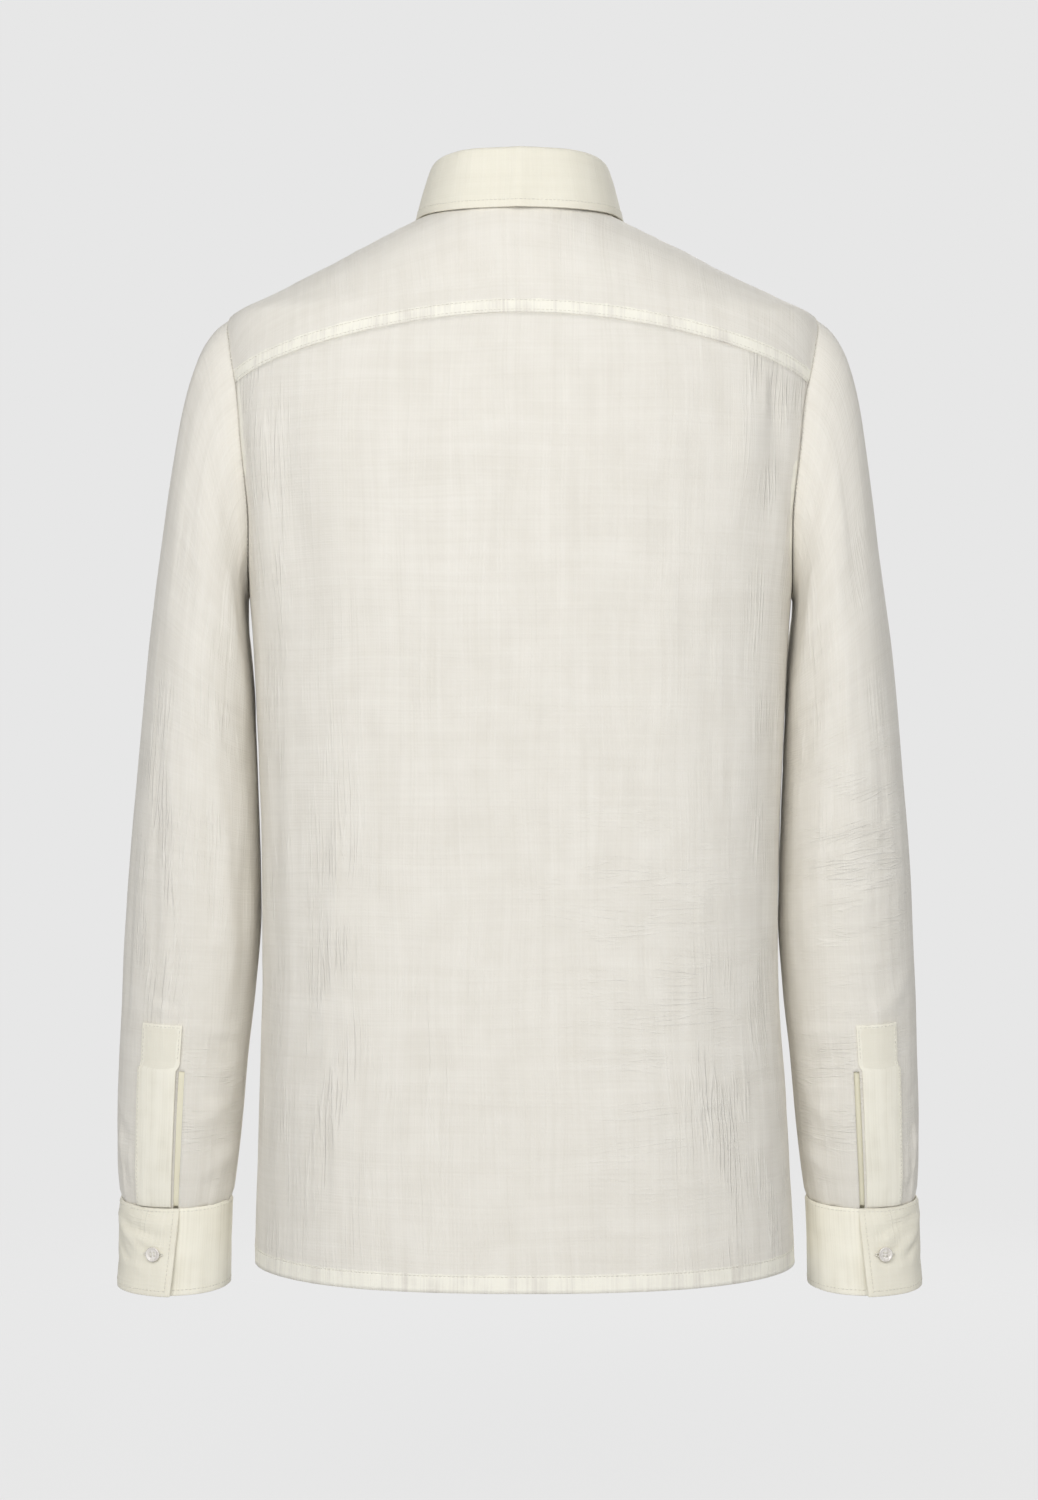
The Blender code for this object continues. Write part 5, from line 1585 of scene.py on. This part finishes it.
class Studio:
    """Camera, lights, pale floor and pale surroundings."""

    camera_place = (0.0, 2.25, -0.370)
    film = 36.0
    frame_height = 1034.5  # millimetres seen at the shirt's middle, on the picture's long side
    aim = (0.0, 0.0, -0.35)
    surround = (0.799, 0.799, 0.799)
    ambient_above, ambient_below = 0.44, 0.66
    floor_level, floor_reach, floor_fade = -0.96, 2.4, (1.4, 2.3)
    floor_shade, floor_glow = (0.12, 0.12, 0.12), 0.875
    lamps = (Lamp("Key", (0.75, 2.6, 0.7), 1.6, 40.0), Lamp("Fill", (-0.9, 2.5, 0.2), 1.6, 18.0),
             Lamp("Front", (-0.6, -2.8, 0.9), 2.2, 62.0))

    def build(self) -> None:
        """Set everything up."""
        self.set_camera()
        self.set_surround()
        for lamp in self.lamps:
            self.hang(lamp)
        self.lay_floor()
        bpy.context.scene.view_settings.view_transform = "Standard"

    def set_camera(self) -> None:
        """The camera stands level behind the shirt, as far off as the photograph's was."""
        data = bpy.data.cameras.new("Camera")
        data.sensor_width = self.film
        data.lens = self.film / (self.frame_height * MM / self.camera_place[1])
        camera = Workshop.link("Camera", data)
        camera.location = self.camera_place
        camera.rotation_euler = (pi / 2, 0.0, pi)
        bpy.context.scene.camera = camera

    def set_surround(self) -> None:
        """Pale surroundings, which light less than they show."""
        world = bpy.data.worlds.new("Surround")
        world.use_nodes = True
        bench = Bench(world.node_tree)
        back = world.node_tree.nodes["Background"]
        bench.put(back.inputs["Color"], self.surround)
        seen = bench.add("LightPath").outputs["Is Camera Ray"]
        way = bench.add("SeparateXYZ")
        bench.put(way.inputs[0], bench.add("TexCoord").outputs["Generated"])
        light = bench.blend(bench.ramp(way.outputs["Z"], -1.0, 0.9), self.ambient_below,
                            self.ambient_above, "FLOAT")
        bench.put(back.inputs["Strength"], bench.blend(seen, light, 1.0, "FLOAT"))
        bpy.context.scene.world = world

    @classmethod
    def hang(cls, lamp: Lamp) -> None:
        """Hang one light and point it at the shirt."""
        data = bpy.data.lights.new(lamp.name, "AREA")
        data.shape, data.size, data.energy = "DISK", lamp.size, lamp.power
        thing = Workshop.link(lamp.name, data)
        thing.location = lamp.place
        away = Vector(cls.aim) - Vector(lamp.place)
        thing.rotation_euler = away.to_track_quat("-Z", "Y").to_euler()

    def lay_floor(self) -> None:
        """A pale round floor that fades into the surroundings."""
        mesh = bmesh.new()
        bmesh.ops.create_circle(mesh, cap_ends=True, segments=64, radius=self.floor_reach,
                                matrix=Matrix.Translation((0, 0, self.floor_level)))
        floor = Workshop.link("Floor", Workshop.mesh_data(mesh, "Floor"))
        material, bench, shader = Bench.start("Pale floor")
        reach = bench.add("VectorMath", operation="LENGTH")
        bench.put(reach.inputs[0], bench.add("TexCoord").outputs["Object"])
        fade = bench.ramp(reach.outputs["Value"], *self.floor_fade)
        bench.wire(shader, {
            "Alpha": bench.math("SUBTRACT", 1.0, fade), "Base Color": self.floor_shade,
            "Emission Color": self.surround, "Emission Strength": self.floor_glow, "Roughness": 1.0,
            "Specular IOR Level": 0.0})
        floor.data.materials.append(material)
        floor.visible_diffuse = False


class Shirt:
    """The whole shirt, piece by piece."""

    finishes = {
        Finish.GAUZE: ClothFinish(
            (0.824, 0.793, 0.724), (0.750, 0.716, 0.643), (0.912, 0.887, 0.782), 1.0, 1.0),
        Finish.DOUBLED: ClothFinish(
            (0.852, 0.820, 0.706), (0.800, 0.766, 0.650), (0.900, 0.870, 0.755), 0.8, 0.8),
        # painted shade inside the slit: colours darker and yellower than the doubled gauze's
        Finish.SHADED: ClothFinish(
            (0.800, 0.765, 0.600), (0.760, 0.720, 0.550), (0.810, 0.775, 0.610), 0.8, 0.7),
        Finish.THREAD: ThreadFinish(),
        Finish.BUTTON: PearlFinish()}

    def __init__(self) -> None:
        """Gather the pieces."""
        sides = ("left", "right")
        self.fronts = [Front(side) for side in sides]
        self.cuffs = [Cuff(side) for side in sides]
        self.stand = CollarStand()
        self.pieces: list[Piece] = [Back(), Yoke(), *self.fronts, self.stand, CollarFall()]
        for maker in (Sleeve, Placket, Underlap):
            self.pieces += [maker(side) for side in sides]
        self.pieces += self.cuffs

    def build(self) -> None:
        """Make every piece, sew it and button it."""
        for finish, look in self.finishes.items():
            Workshop.finishes[finish] = look.make(finish.value)
        for piece in self.pieces:
            thing = piece.build()
            width, length, area = piece.cut
            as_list(piece.rests_on)
            LOG.info("%s: %d faces", thing.name, len(thing.data.polygons))
        thread = Sewing().stitch(self.pieces, "seam_thread")
        LOG.info("%s: %d faces", thread.name, len(thread.data.polygons))
        seats = self.seats()
        Button().sew_on(seats)
        LOG.info("%d buttons", len(seats))

    def seats(self) -> list[Seat]:
        """Where the buttons sit, with the directions of cloth and buttonhole."""
        up = np.array((0.0, 0.0, 1.0))
        seats = []
        for number in range(1, 7):
            low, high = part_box(f"button_front_{number}")
            height = (low[2] + high[2]) / 2 / MM
            reach = self.fronts[1].form
            dip = float(reach.size("front_dip", np.asarray(height)))
            out = reach.normal(np.array([-1.0]), np.array([height + dip]))[0]
            seats.append(Seat(f"button_front_{number}", out, up))
        for cuff in self.cuffs:
            side = np.array((-1.0, 1.0, 1.0)) if cuff.mirrored else np.ones(3)
            here, on, down = (cuff.band(np.array(turn), np.array(drop), np.zeros(()))
                              for turn, drop in ((434.0, 0.50), (436.0, 0.50), (434.0, 0.54)))
            out = unit(np.cross(down - here, on - here)) * side
            seats.append(Seat(cuff.solid.replace("cuff", "button_cuff"), out, (on - here) * side))
        start = 0.5 - 0.5 / self.stand.reach
        here, on, over = (
            self.stand.lay(np.array([start + du]), np.array([0.5 + dv]), np.zeros(1))[0]
            for du, dv in ((0, 0), (0.01, 0), (0, 0.2)))
        out = unit(np.cross(over - here, on - here))
        seats.append(Seat("button_stand", out if out[1] < 0 else -out, on - here))
        return seats


def main() -> None:
    """Build shirt and studio."""
    Shirt().build()
    Studio().build()
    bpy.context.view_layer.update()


if __name__ == "__main__":
    main()
